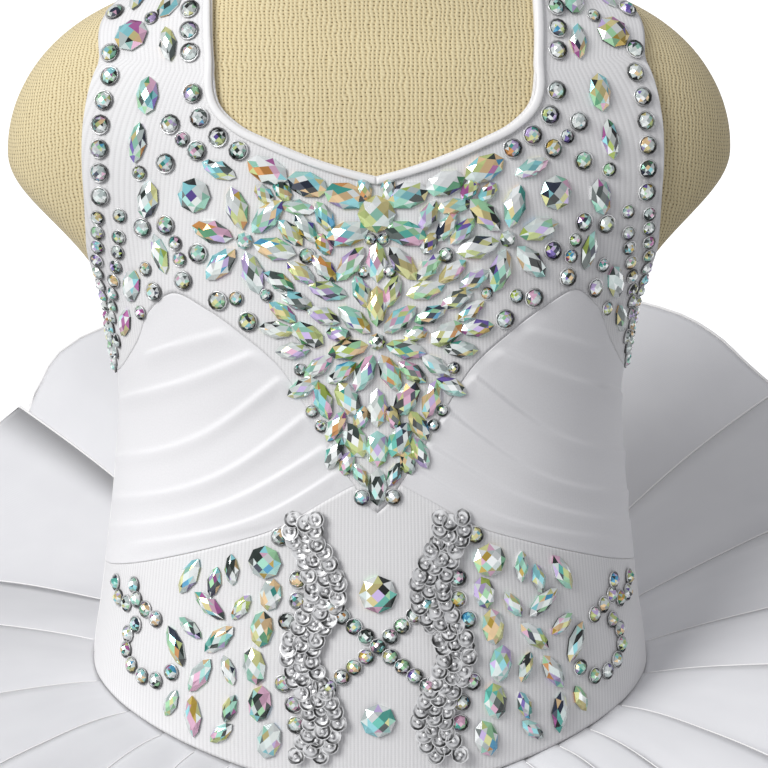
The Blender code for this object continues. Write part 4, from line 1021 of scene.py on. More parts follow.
def joined(groups):
    """Points, faces and tints of several groups as those of one piece."""
    starts = np.cumsum([0] + [len(points) for points, *_ in groups])
    points, faces, tints = zip(*groups)
    return np.concatenate(points), np.concatenate([f + s for f, s in zip(faces, starts)]), np.concatenate(tints)


def spots_of(stones):
    """Flat places and half sizes of stones."""
    return [(s.girth, s.height) for s in stones], [(s.length / 2, s.width / 2, s.rise) for s in stones]


def add_crystals(name, placed, shares, seed):
    """One piece of cut stones from (place, stones) pairs, with a tint on every facet."""
    rng = np.random.default_rng(seed)
    faces_of_one, facet = cut_faces()
    groups = []
    for place, stones in placed:
        for shape in (ROUND, OVAL, LEAF):
            group = [s for s in stones if s.shape == shape]
            if not group:
                continue
            flat, sizes = spots_of(group)
            frames = frames_on(place, flat, np.full(len(group), OUTSIDE))
            points, faces = stamp(cut_stone(shape), faces_of_one, frames, sizes, [s.turn for s in group])
            groups.append((points, faces, facet_tints(len(group), shares, rng)[:, facet].reshape(-1, 3)))
    points, faces, tints = joined(groups)
    tint_piece(add_piece(name, points, faces, CRYSTAL, smooth=False), np.repeat(tints, 3, axis=0), "CORNER")


def tint_piece(piece, tints, domain):
    """Stores the colours that the piece's finish reads, one for each corner or each point: the stones' tints with
    their painted dark facets, or the silver shapes' painted light and shade levels.
    """
    layer = piece.data.color_attributes.new(TINT_AND_PAINTED_LIGHT, "FLOAT_COLOR", domain)
    colours = np.column_stack([tints, np.ones(len(tints))])
    layer.data.foreach_set("color", colours.astype(np.float32).ravel())


# A ring of a round silver shape: radius and height, and its painted light level on the shape's lit side (bright) and
# on its shaded side (dark)
Ring = namedtuple("Ring", "radius height bright dark")
ROUND_SIDES = 12
# The cups' levels are painted light and shade: the rim painted light on its lit side, the outer and inner walls
# painted dark as painted shade
CUP_RINGS = table(Ring, (1.08, 0.0, 0.3, 0.02), (1.26, 0.24, 0.6, 0.03), (1.22, 0.4, 1.0, 0.1),
                  (1.1, 0.37, 0.8, 0.01), (0.97, 0.2, 0.4, 0.01))
# Where round each shape its painted light falls, with painted shade on the far side
PAINTED_LIGHT_TURN, TURN_SPREAD = 2.3, 0.9  # radians round the shape, and how they spread from one to the next


def ring_shape(rings, sides, closed):
    """Points and triangles of a round shape from its rings, and each point's painted light level on its painted lit
    side and on its painted shaded side. A closed one has a middle point."""
    turn = np.arange(sides) * 2 * math.pi / sides
    points = [np.column_stack([np.cos(turn) * r.radius, np.sin(turn) * r.radius, np.full(sides, r.height)])
              for r in rings]
    quads = grid_faces(len(rings), sides, True)
    faces = np.concatenate([quads[:, [0, 1, 2]], quads[:, [0, 2, 3]]])
    bright = np.repeat([r.bright for r in rings], sides)
    dark = np.repeat([r.dark for r in rings], sides)
    if closed:
        foot = (len(rings) - 1) * sides
        cap = np.column_stack([foot + np.arange(sides), foot + (np.arange(sides) + 1) % sides,
                               np.full(sides, len(rings) * sides)])
        faces = np.concatenate([faces, cap])
        points.append(np.array([[0, 0, rings[-1].height]]))
        bright, dark = np.append(bright, rings[-1].bright), np.append(dark, rings[-1].dark)
    return np.concatenate(points), faces, bright, dark


def silver_shapes(spots, sizes, place, rings, sides, closed, rng, lift=None, tilt=None):
    """Small round silver shapes: points, faces and painted light levels. Each is painted lighter on one side than on
    the other, as painted light and painted shade that follow a cosine round it, and that side differs from shape to
    shape."""
    shape, what, bright, dark = ring_shape(rings, sides, closed)
    many = len(spots)
    lift = np.full(many, OUTSIDE) if lift is None else lift
    points, faces = stamp(shape, what, frames_on(place, spots, lift), sizes, np.zeros(many), tilt)
    # Painted light and painted shade, as a cosine round each shape
    facing = np.arctan2(shape[:, 1], shape[:, 0])[None] - rng.normal(PAINTED_LIGHT_TURN, TURN_SPREAD, size=(many, 1))
    share = 0.5 + 0.5 * np.cos(facing)
    level = dark[None] + (bright - dark)[None] * share
    return points, faces, np.repeat(level.reshape(-1, 1), 3, axis=1)


def silver_piece(name, groups, finish):
    """Several groups of silver shapes as one piece."""
    points, faces, levels = joined(groups)
    tint_piece(add_piece(name, points, faces, finish), levels, "POINT")


def add_cups(name, placed, seed):
    """One piece of round silver cups under their stones: a flared ring with a turned-in rim."""
    rng = np.random.default_rng(seed)
    silver_piece(name, [silver_shapes(*spots_of(stones), place, CUP_RINGS, ROUND_SIDES, False, rng)
                        for place, stones in placed], CUP_SILVER)


def inside(points, outline):
    """Which points lie inside a flat outline: those from which a level ray crosses it an odd number of times."""
    start, end = outline, np.roll(outline, -1, axis=0)
    x, y = points[:, 0:1], points[:, 1:2]
    spans = (start[:, 1] > y) != (end[:, 1] > y)
    height = np.where(end[:, 1] == start[:, 1], 1, end[:, 1] - start[:, 1])
    cross = start[:, 0] + (y - start[:, 1]) / height * (end[:, 0] - start[:, 0])
    return (spans & (x < cross)).sum(axis=1) % 2 == 1


CHAIN_GAP = 0.1
STONE_DISCS = ((-0.9, 0.75), (0, 1), (0.9, 0.75))  # place along a stone's straight reach, and share of its width


def discs_of(stones):
    """Three discs along each stone that together cover it: places and radii."""
    places, radii = [], []
    for s in stones:
        turn = math.radians(s.turn)
        reach = (s.length - s.width) / 2
        for share, wide in STONE_DISCS:
            places.append((s.girth + math.cos(turn) * reach * share, s.height + math.sin(turn) * reach * share))
            radii.append(s.width / 2 * wide)
    return np.array(places), np.array(radii)


def room_between(own, others):
    """The least gap between two lots of discs."""
    apart = np.linalg.norm(own[0][:, None] - others[0][None], axis=-1)
    return (apart - own[1][:, None] - others[1][None]).min()


def clear_of(stones, others):
    """Those of the stones that stand clear of all the others."""
    there = discs_of(others)
    return [s for s in stones if room_between(discs_of([s]), there) > CHAIN_GAP]


Filler = namedtuple("Filler", "shape length width rise gap tries")
Area = namedtuple("Area", "low high")


def fill_with(stones, fillers, allowed, area, turn_of, rng):
    """Small stones in the free room between others: each kind in turn is tried at random spots, and stays where
    it keeps its gap from all that lie there already."""
    added = []
    there = discs_of(stones)
    for filler in fillers:
        spots = rng.uniform(*area, size=(filler.tries, 2))
        for spot in spots[allowed(spots)]:
            turn = turn_of(spot) if filler.shape != ROUND else 0
            stone = Stone(filler.shape, spot[0], spot[1], filler.length, filler.width, turn, filler.rise)
            own = discs_of([stone])
            if room_between(own, there) > filler.gap:
                added.append(stone)
                there = [np.concatenate(pair) for pair in zip(there, own)]
    return added


def along_line(line, spacing, inset):
    """Spots at even spacing along a flat line, moved to its left by the inset."""
    runs = np.linalg.norm(np.diff(line, axis=0), axis=1)
    at = np.concatenate([[0], np.cumsum(runs)])
    steps = np.linspace(0, at[-1], max(2, round(at[-1] / spacing) + 1))
    steps = (steps[1:] + steps[:-1]) / 2
    spots = np.stack([np.interp(steps, at, line[:, i]) for i in (0, 1)], axis=-1)
    slopes = np.gradient(spots, axis=0)
    slopes /= np.linalg.norm(slopes, axis=1, keepdims=True)
    return spots + np.stack([-slopes[:, 1], slopes[:, 0]], axis=-1) * inset


def round_row(spots, size, rise):
    """Round stones of one size at these spots."""
    return [Stone(ROUND, x, y, size, size, 0, rise) for x, y in spots]


def split_rounds(stones):
    """The round ones of some stones, and the others."""
    return [s for s in stones if s.shape == ROUND], [s for s in stones if s.shape != ROUND]


OUTLINE = ((YOKE_TIP, 6), (YOKE_LOWER, 40), (ARMHOLE, 30), (NECKLINE, 30))  # lines, and points along each


def yoke_outline():
    """The yoke's right half as a closed flat outline."""
    tip, lower, arm, neck = (flat_line(*row) for row in OUTLINE)
    return np.concatenate([tip, lower[1:], arm[::-1], neck[::-1]])


CHATON = (5.6, 2.6)  # size and rise
CHAIN_CHATON = (4.4, 2.1)
CHAIN_STEP = 5.3
ARM_POINTS, NECK_POINTS = 120, 80
EDGE_INSET = 3.7
EDGE_STEP = 8.2
NECK_COLUMN = 7.0
NECK_STEP = 7.8
Chain = namedtuple("Chain", "top inset")
ARM_CHAINS = table(Chain, (500, 2.9), (496, 8.2), (480, 13.5))
ARM_EDGE_FOOT, NECK_EDGE_FOOT = 500, 524
CLUSTER_FILL = table(Filler, (LEAF, 12, 6.2, 2.8, -0.3, 900), (OVAL, 8.5, 5.4, 2.6, -0.2, 900),
                     (ROUND, 4.7, 4.7, 2.4, 0.6, 900), (ROUND, 3.7, 3.7, 2.0, 0.4, 1100))
SHOULDER_FILL = table(Filler, (ROUND, 5.6, 5.6, 2.6, 1.5, 1500), (OVAL, 7.6, 5.0, 2.2, 0.9, 260),
                      (ROUND, 4.3, 4.3, 2.2, 1.0, 1200))
STRAP_FILL = table(Filler, (OVAL, 10, 6.2, 2.4, 0.9, 60), (ROUND, 5.6, 5.6, 2.6, 1.1, 400),
                   (ROUND, 4.2, 4.2, 2.0, 1.1, 300))
CLUSTER_AREA = Area((1.5, 404), (58, 515))
CLUSTER_TOP = 512
Slant = namedtuple("Slant", "girth height slope")
CLUSTER_SIDE = Slant(9, 405, 0.52)
SHOULDER_AREA = Area((12, 452), (112, 548))
SHOULDER_LEAST = (16, 455)
SHOULDER_EDGE = 4.5
STRAP_AREA = Area((4, 9), (116, 29))
STRAP_EDGE = (4.0, 128.0, 8.3)  # first and last length, and step
STRAP_SHIFT = 2.5
STRAP_TURN = 10


def toward_tip(spot):
    """Turn of a stone that points to the lower flower."""
    return math.degrees(math.atan2(spot[1] - CENTRE_FLOWER.height, spot[0] - CENTRE_FLOWER.girth))


def dress_yoke_and_straps():
    """All stones of the yoke and the straps: the large ones, chains along the armholes and the straps' edges, and
    small ones between. The right half's small stones are laid first, and the left half mirrors them."""
    rng = np.random.default_rng(seed=11)
    large = [*CENTRE_STONES, *HALF_STONES, *mirrored(HALF_STONES), *flower_stones(CENTRE_FLOWER, 1),
             *flower_stones(HALF_FLOWER, 1), *flower_stones(HALF_FLOWER, -1)]
    arm, neck = flat_line(ARMHOLE, ARM_POINTS)[::-1], flat_line(NECKLINE, NECK_POINTS)
    chain = round_row(along_line(arm[arm[:, 1] >= ARM_EDGE_FOOT], EDGE_STEP, EDGE_INSET), *CHATON)
    chain += round_row(along_line(neck[neck[:, 1] > NECK_EDGE_FOOT], NECK_STEP, -NECK_COLUMN), *CHATON)
    for row in ARM_CHAINS:
        chain += round_row(along_line(arm[arm[:, 1] < row.top], CHAIN_STEP, row.inset), *CHAIN_CHATON)
    chain = clear_of(chain, large)
    outline = yoke_outline()

    def in_cluster(spots):
        x, y = spots.T
        side = CLUSTER_SIDE.girth + (y - CLUSTER_SIDE.height) * CLUSTER_SIDE.slope
        return inside(spots, outline) & (x < side) & (y < CLUSTER_TOP)

    def in_shoulder(spots):
        shifts = ((SHOULDER_EDGE, 0), (0, -SHOULDER_EDGE), (0, NECK_COLUMN))
        return np.all([inside(spots + shift, outline) for shift in shifts] + [*(spots > SHOULDER_LEAST).T], axis=0)

    cluster = fill_with(large + chain, CLUSTER_FILL, in_cluster, CLUSTER_AREA, toward_tip, rng)
    small = cluster + fill_with(large + chain + cluster, SHOULDER_FILL, in_shoulder, SHOULDER_AREA, toward_tip, rng)
    lengths = np.arange(*STRAP_EDGE)
    strap_edge = round_row([(x, STRAP_WIDTH - EDGE_INSET) for x in lengths], *CHATON)
    strap_edge += round_row([(x + STRAP_SHIFT, NECK_COLUMN) for x in lengths[:-1]], *CHATON)
    strap_edge = clear_of(strap_edge, STRAP_STONES)
    strap_small = fill_with(
        [*STRAP_STONES, *strap_edge], STRAP_FILL, lambda spots: spots[:, 0] < STRAP_AREA.high[0], STRAP_AREA,
        lambda spot: STRAP_TURN + spot[0], rng,
    )
    (rounds, loose), (strap_rounds, strap_loose) = split_rounds(small), split_rounds(strap_small)
    places = [(on_bodice, large + loose + mirrored(loose))]
    places += [(on_strap(side), [*STRAP_STONES, *strap_loose]) for side in (1, -1)]
    add_crystals("yoke_crystals", places, TINT_SHARES, seed=21)
    places = [(on_bodice, chain + rounds + mirrored(chain + rounds))]
    places += [(on_strap(side), strap_edge + strap_rounds) for side in (1, -1)]
    add_crystals("yoke_chatons", places, SMALL_SHARES, seed=22)
    add_cups("yoke_cups", places, seed=23)


SEQUIN_SIZES = (3.1, 3.1, 0.7)  # half length, half width and rise
# The sequins' levels are painted: a thin dark crescent on one side of each cup, painted shade and painted reflection,
# and the rest painted light
SEQUIN_RINGS = table(Ring, (1.0, 0.9, 1.0, 1.0), (0.95, 0.96, 1.0, 1.0), (0.88, 0.9, 1.0, 0.0),
                     (0.71, 0.7, 1.0, 0.02), (0.62, 0.6, 1.0, 1.0), (0.34, 0.2, 1.0, 1.0), (0.24, 0.1, 0.9, 0.6))
# Painted dark reflections: the share of a sequin's points painted dark, and how dark
SEQUIN_PAINTED_DARK_REFLECTIONS = 0.2  # share of a sequin's points that mirror something dark
PAINTED_DARK_REFLECTION_LEVEL = 0.12
# The beads' levels are painted light and shade: lighter at the top, darker at the foot and on one side
BEAD_RINGS = table(Ring, (0.7, 0.1, 0.5, 0.2), (1.0, 0.5, 0.9, 0.35), (0.7, 0.92, 1.0, 0.7), (0.2, 1.0, 1.0, 0.8))
BEAD_SIZES = (0.85, 0.85, 1.7)
BEAD_SIDES = 8
Band = namedtuple("Band", "middle low high wave width")
SEQUIN_BAND = Band(22.5, 314.0, 404.0, 4.0, 8.4)
BAND_LINE = 44.0
BAND_START = 2.2
SEQUIN_STEP = 3.7
BAND_ROOT, BAND_FOOT = 5, 4  # from the band's low end to its first row, and from the seam to its lowest
BAND_SLANT = 0.1
SEQUIN_LIFT = 0.95
# Ranges from which each sequin's place, lift and tilts are drawn
PLACE_RANGE, LIFT_RANGE, SIDE_TILT, DOWN_TILT = (-0.7, 0.7), (-0.15, 0.55), (-0.14, 0.14), (-0.3, -0.1)
BESIDE_CHATON = (5.2, 2.3)
CROSS_CHATON = (4.8, 2.3)
CURL_CHATON = (5.0, 2.5)
BESIDE_ROWS = (322, 400, 7.2)  # lowest and highest, and step
BESIDE_OUT = 9.4
CROSS_HEIGHT, CROSS_REACH, CROSS_RISE, CROSS_STONES, CROSS_EYE = 357, 17, 14, 9, 2
CURL_STEP = 5.9
LEAF_FILL = table(Filler, (LEAF, 11, 5.4, 2.4, 0.4, 260), (ROUND, 4.9, 4.9, 2.3, 1.0, 200))
LEAF_AREA = Area((44, 324), (78, 384))
LEAF_MIDDLE, LEAF_HALF = 60, 13
LEAF_BELOW, LEAF_ABOVE = 7, 6  # from the basque's top seam, and from the skirt's
# Chains beside the basque's leaves, as girth and height along each curl
SCROLLS = (
    ((75.5, 358), (80, 361), (85, 362.5), (89, 366), (89, 371)),
    ((89.5, 362), (95, 360.5), (100, 363), (101.5, 368.5)),
    ((84, 357), (89, 352.5), (90, 346), (86, 340.5), (79, 338), (73, 339)),
)


def band_middle(height):
    """How far the sequin band's middle is from centre front: it winds out and in again, as a sine of height."""
    turn = (height - SEQUIN_BAND.low) * 2 * math.pi / BAND_LINE + BAND_START
    return SEQUIN_BAND.middle + SEQUIN_BAND.wave * np.sin(turn)


def band_sequins(rng):
    """Spots, lifts and tilts of the cup sequins: three columns in each band, set like roof tiles, each with its lower
    edge over the next."""
    rows = np.arange(SEQUIN_BAND.low + BAND_ROOT, SEQUIN_BAND.high, SEQUIN_STEP)
    spots = np.stack(np.meshgrid((-0.5, 0.0, 0.5), rows), axis=-1).reshape(-1, 2)
    spots[:, 1] += np.where(spots[:, 0] == 0, SEQUIN_STEP / 2, 0)
    girth = band_middle(spots[:, 1]) + spots[:, 0] * SEQUIN_BAND.width
    flat = np.column_stack([girth, spots[:, 1]]) + rng.uniform(*PLACE_RANGE, size=(len(girth), 2))
    top = SEQUIN_BAND.high - flat[:, 0] * BAND_SLANT
    flat = flat[(flat[:, 1] > seam_height(flat[:, 0] / GIRTH) + BAND_FOOT) & (flat[:, 1] < top)]
    flat = np.concatenate([flat, flat * (-1, 1)])
    lift = OUTSIDE + SEQUIN_LIFT + rng.uniform(*LIFT_RANGE, size=len(flat))
    tilt = np.column_stack([rng.uniform(*limits, len(flat)) for limits in (SIDE_TILT, DOWN_TILT)])
    return flat, lift, tilt


def dress_basque():
    """The basque's stones, its two winding sequin bands, and the small chains between and beside them."""
    rng = np.random.default_rng(seed=31)
    large = [*BASQUE_CENTRE_STONES, *BASQUE_HALF_STONES, *mirrored(BASQUE_HALF_STONES)]
    spots, lift, tilt = band_sequins(rng)
    sizes = np.tile(SEQUIN_SIZES, (len(spots), 1))
    sequins = silver_shapes(spots, sizes, on_bodice, SEQUIN_RINGS, ROUND_SIDES, True, rng, lift, tilt)
    # Painted dark reflections scattered over the sequins' points
    sequins[2][rng.random(len(sequins[2])) < SEQUIN_PAINTED_DARK_REFLECTIONS] *= PAINTED_DARK_REFLECTION_LEVEL
    silver_piece("basque_cup_sequins", [sequins], SEQUIN_SILVER)
    sizes = np.tile(BEAD_SIZES, (len(spots), 1))
    beads = silver_shapes(spots, sizes, on_bodice, BEAD_RINGS, BEAD_SIDES, True, rng, lift)
    silver_piece("basque_seed_beads", [beads], CUP_SILVER)

    heights = np.arange(*BESIDE_ROWS)
    beside = round_row(np.column_stack([band_middle(heights) + BESIDE_OUT, heights]), *BESIDE_CHATON)
    beside = [s for s in clear_of(beside, large) if abs(s.girth) > 1]
    cross = []
    for turn in (1, -1):
        share = np.linspace(-1, 1, CROSS_STONES)
        cross += round_row(np.column_stack([share * CROSS_REACH, CROSS_HEIGHT - share * CROSS_RISE * turn]),
                           *CROSS_CHATON)
    cross = [s for s in cross if abs(s.girth) > CROSS_EYE] + round_row([(0, CROSS_HEIGHT)], *CROSS_CHATON)
    curls = []
    for curl in SCROLLS:
        curls += round_row(along_line(through(curl, np.linspace(0, 1, 90)), CURL_STEP, 0), *CURL_CHATON)
    curls = clear_of(curls, large)
    top = flat_line(BASQUE_TOP, 60)

    def beside_leaves(spots):
        under = spots[:, 1] < np.interp(spots[:, 0], top[:, 0], top[:, 1]) - LEAF_BELOW
        over = spots[:, 1] > seam_height(spots[:, 0] / GIRTH) + LEAF_ABOVE
        return under & over & (abs(spots[:, 0] - LEAF_MIDDLE) < LEAF_HALF)

    fill = fill_with(large + curls + beside, LEAF_FILL, beside_leaves, LEAF_AREA, lambda spot: 150 - spot[1] % 40 * 3,
                     rng)
    rounds, leaves = split_rounds(fill)
    rounds = beside + curls + rounds
    chatons = rounds + mirrored(rounds) + cross
    add_crystals("basque_crystals", [(on_bodice, large + leaves + mirrored(leaves))], TINT_SHARES, seed=41)
    add_crystals("basque_chatons", [(on_bodice, chatons)], CHAIN_SHARES, seed=42)
    add_cups("basque_cups", [(on_bodice, chatons)], seed=43)


dress_yoke_and_straps()
dress_basque()


# Bindings and fastenings

BINDING_WIDTH = 2.4
BINDING_WALL = 0.8
BINDING_SWELL = 0.2
BINDING_SIDES = 12
BINDING_EASE = 8
BINDING_POINTS = (70, 90)  # along the neckline and along the strap
BINDING_START = 1.5
BINDING_MEET = 0.02  # from centre front to each half's end
TAB_LENGTH = 13.0
TAB_WALL = 1.4
TAB_INSET = 5.0
TAB_BUTTON = 4.0
TAB_POINTS = 60
SOFT_EDGE = 0.8
PLACKET_HALF_ANGLE = 6.5
PLACKET_ENDS = (1.0, 0.5)
PLACKET_POINTS = (41, 131)
BACK_BUTTONS = 6
BUTTON_ENDS = (9.0, 8.0)
BUTTON_RADIUS = 4.6
BUTTON_RISE = 3.0
BUTTON_SIDES = 40
BUTTON_GATHERS = 20
GATHER_DEPTH = 0.012
# Radius and height from a button's middle to its foot, and the radius beyond which its cloth is gathered
BUTTON_RINGS = ((0.02, 1.0), (0.3, 0.96), (0.58, 0.82), (0.8, 0.6), (0.95, 0.32), (1.0, 0.12), (0.95, 0.0))
GATHERED_BEYOND = 0.7


def make_binding(side, label):
    """The neck edge's rolled binding: a flattened round section carried along the neckline and the strap, with its
    kink at the strap's root eased by averaging each ring with its neighbours."""
    neck = flat_line(NECKLINE, BINDING_POINTS[0])
    along = np.gradient(neck, axis=0)
    along /= np.linalg.norm(along, axis=1, keepdims=True)
    inward = np.stack([along[:, 1], -along[:, 0]], axis=1)
    inward[0] = (0, -1)
    turn = np.arange(BINDING_SIDES) * 2 * math.pi / BINDING_SIDES
    across = SEAM_GAP + BINDING_WIDTH / 2 * (1 - np.cos(turn))
    middle = OUTSIDE + LAY_GAP + BINDING_WALL / 2
    lift = middle + (BINDING_WALL / 2 + BINDING_SWELL) * np.sin(turn)
    flat = neck[:, None] + inward[:, None] * across[None, :, None]
    flat[0, :, 0] = BINDING_MEET
    yoke = on_bodice(flat * (side, 1), np.broadcast_to(lift, flat.shape[:2]))[:-1]
    lengths = np.linspace(BINDING_START, STRAP_LENGTH - TAB_LENGTH, BINDING_POINTS[1])
    flat = np.stack(np.broadcast_arrays(lengths[:, None], across[None]), axis=-1)
    points = np.concatenate([yoke, on_strap(side)(flat, np.broadcast_to(lift, flat.shape[:2]))])
    for _ in range(BINDING_EASE):
        points[1:-1] = (points[:-2] + 2 * points[1:-1] + points[2:]) / 4
    points = closed_ends(points, END_RINGS[:1])
    faces = grid_faces(*points.shape[:2], True, flip=side > 0)
    binding = add_piece(f"neck_binding_{label}_rolled", points, faces, SATIN)
    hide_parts("neck_binding_" + label)


def padded_wall(name, grid, place):
    """A strip of cloth over a grid of flat points, as an outer face with soft edges turned down to its foot: its
    height is the square root of the distance from the edge, up to the wall."""
    rows, columns = grid.shape[:2]
    row, col = np.meshgrid(np.linspace(0, 1, rows), np.linspace(0, 1, columns), indexing="ij")
    size = np.linalg.norm(grid[-1, 0] - grid[0, 0]), np.linalg.norm(grid[0, -1] - grid[0, 0])
    edge = np.minimum(np.minimum(row, 1 - row) * size[0], np.minimum(col, 1 - col) * size[1])
    lift = OUTSIDE + LAY_GAP + TAB_WALL * np.sqrt(np.clip(edge / SOFT_EDGE, 0, 1))
    return add_piece(name, place(grid, lift), grid_faces(rows, columns), SATIN, grid)


def covered_button(name, spot, node_name):
    """A cloth-covered button: a full dome that turns in at its foot, with faint gathers round the edge."""
    out = slope_of_form(spot[None])[0]
    out /= np.linalg.norm(out)
    profile = np.array(BUTTON_RINGS)
    turn = np.arange(BUTTON_SIDES) * 2 * math.pi / BUTTON_SIDES
    gather = 1 + GATHER_DEPTH * np.cos(turn * BUTTON_GATHERS)[None, :] * (profile[:, :1] > GATHERED_BEYOND)
    radius = profile[:, :1] * gather * BUTTON_RADIUS
    along = np.cross((0.0, 0.0, 1.0), out)
    along /= np.linalg.norm(along)
    up = np.cross(out, along)
    points = (spot + radius[..., None] * (np.cos(turn)[None, :, None] * along + np.sin(turn)[None, :, None] * up)
              + (profile[:, 1] * BUTTON_RISE)[:, None, None] * out)
    button = add_piece(name, points, grid_faces(*points.shape[:2], True, flip=True), SATIN)
    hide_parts(node_name)


def make_fastenings():
    """Centre-back placket with its six buttons, and the neck tab with its button."""
    foot, top = WAIST_SEAM + PLACKET_ENDS[0], BACK_TOP[-1].height - PLACKET_ENDS[1]
    angles = np.linspace(-PLACKET_HALF_ANGLE, PLACKET_HALF_ANGLE, PLACKET_POINTS[0]) + 180
    grid = np.stack(np.meshgrid(angles * GIRTH, np.linspace(foot, top, PLACKET_POINTS[1])), axis=-1)
    placket = padded_wall("back_placket_cloth", grid, on_bodice)
    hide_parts("back_placket")
    button_foot = OUTSIDE + TAB_WALL + 2 * LAY_GAP
    heights = np.linspace(foot + BUTTON_ENDS[0], top - BUTTON_ENDS[1], BACK_BUTTONS)
    for number, height in enumerate(heights):
        covered_button(f"back_button_{number + 1}_covered", on_body(180, height, button_foot),
                       f"back_button_{number + 1}")

    def place(flat, lift):
        right = on_strap(1)(np.abs(flat) * (-1, 1) + (STRAP_LENGTH, 0), lift)
        return right * np.where(flat[..., :1] < 0, (-1, 1, 1), (1, 1, 1))

    lengths = np.linspace(1 - TAB_LENGTH, TAB_LENGTH - 1, TAB_POINTS)
    across = np.linspace(TAB_INSET, STRAP_WIDTH - TAB_INSET, TAB_POINTS)
    grid = np.stack(np.meshgrid(lengths, across), axis=-1)
    tab = padded_wall("neck_tab_cloth", grid, place)
    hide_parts("neck_tab")
    spot = place(np.array([[TAB_BUTTON, STRAP_WIDTH / 2]]), button_foot)[0] * (0, 1, 1)
    covered_button("neck_button_covered", spot, "neck_button")


for hand, hand_name in ((1, "right"), (-1, "left")):
    make_binding(hand, hand_name)
make_fastenings()


# Ruffles of the skirt, as in the part's source. A row of Reach is a ring of the ruffle, a row of Bend a point of a
# fold's section

Reach = namedtuple("Reach", "front_out front_rise side_out side_rise back_out back_rise fold tuck")
Ruffle = namedtuple("Ruffle", "name edges start rows crests profile")
Bend = namedtuple("Bend", "share height tuck")
FOLD = table(Bend, (0.04, -1.0, -0.08), (0.16, -0.42, 0), (0.36, 0.28, 0), (0.6, 0.76, 0), (0.82, 1.0, 0.02),
             (0.96, 0.86, 0.07))
SLIM_FOLD = table(Bend, (0.05, -1.0, -0.06), (0.22, -0.25, 0), (0.5, 0.58, 0), (0.8, 1.0, 0), (0.95, 0.82, 0.05))
LOBE_FOLD = table(Bend, (0.03, -1.0, -0.1), (0.1, -0.3, -0.08), (0.22, 0.5, -0.03), (0.42, 1.0, 0),
                  (0.75, 1.05, 0.02), (0.96, 0.86, 0.07))
LOBE_PLACE = 11
LOBE_SHIFT = 4.0
RUFFLES = (
    Ruffle("ruffle_top", (0, 10, 19, 28, 36, 44, 52, 62, 76, 97, 119, 139, 160, 180), 1.8, table(
        Reach, (1.1, 0, 1.1, 0, 1.1, 0, 0.3, 0), (9, -4.5, 10, 0, 10, 2, 1.5, 0.3),
        (34, -27, 40, 0, 38, 10, 4.2, 0.8), (74, -72, 92, -2, 86, 27, 8, 1), (120, -128, 180, -24, 165, 56, 13, 1),
    ), 8.0, FOLD),
    Ruffle("ruffle_middle", (0, 14, 28, 42, 57, 73, 90, 108, 126, 144, 162, 180), 5.2, table(
        Reach, (1.1, 0, 1.1, 0, 1.1, 0, 0.3, 0), (9, -10, 12, -5, 12, -3, 1.4, 0.3), (50, -70, 80, -24, 80, 2, 7, 1),
        (94, -140, 160, -74, 158, 2, 12, 1),
    ), 7.0, SLIM_FOLD),
    Ruffle("ruffle_lower", (0, 18, 36, 54, 72, 90, 108, 126, 144, 162, 180), 8.4, table(
        Reach, (1.1, 0, 1.1, 0, 1.1, 0, 0.3, 0), (14, -24, 22, -18, 24, -13, 2, 0.5),
        (66, -150, 130, -118, 135, -68, 11, 1),
    ), 5.0, SLIM_FOLD),
)
STATIONS = (30.0, 90.0, 150.0)
MEAN_FOLD = 14.0
Sway = namedtuple("Sway", "share pace side")
FOLD_SWAY = table(Sway, (0.22, 2.3, -0.7), (0.1, 5.1, -1.0))
LEAN_SWAY = Sway(0.08, 1.7, 1.0)
SHIFT_START = 76.0
SIDE_SHIFT = 5.0
SIDE_LIFT = 11.0
LIFT_REACH = 180.0
LEFT_DIP = 62.0
DIP_ANGLE = -128.0
DIP_WIDTH = 19.0
LOW_FOLD = 0.35
Flare = namedtuple("Flare", "out rise")
UNDERSKIRT = table(Flare, (2.1, 0), (5, -14), (18, -62), (38, -124))
UNDERSKIRT_START = 13.4
UNDERSKIRT_WALL = 1.0
UNDERSKIRT_POINTS = (145, 40)
UNDERSKIRT_CUT = 2  # millimetres of its cut for a degree
SWELL, SWELLS, SWELL_REACH = 1.5, 8, 50
RUFFLE_ROWS = 64
PETAL_ARCH = 4.5  # how far a petal's middle stands above the part's own line
PETAL_WALL = 0.6
FOLD_POINTS = 16
HEM_RADII = (0.2, 0.5)  # of a petal's rolled edge, at the waist and at the foot
FOOT_RADIUS = 0.6
HEM_LIFT = 0.1


def section_points(profile):
    """Fine points of a fold's section."""
    return through(profile, np.linspace(0, 1, FOLD_POINTS))


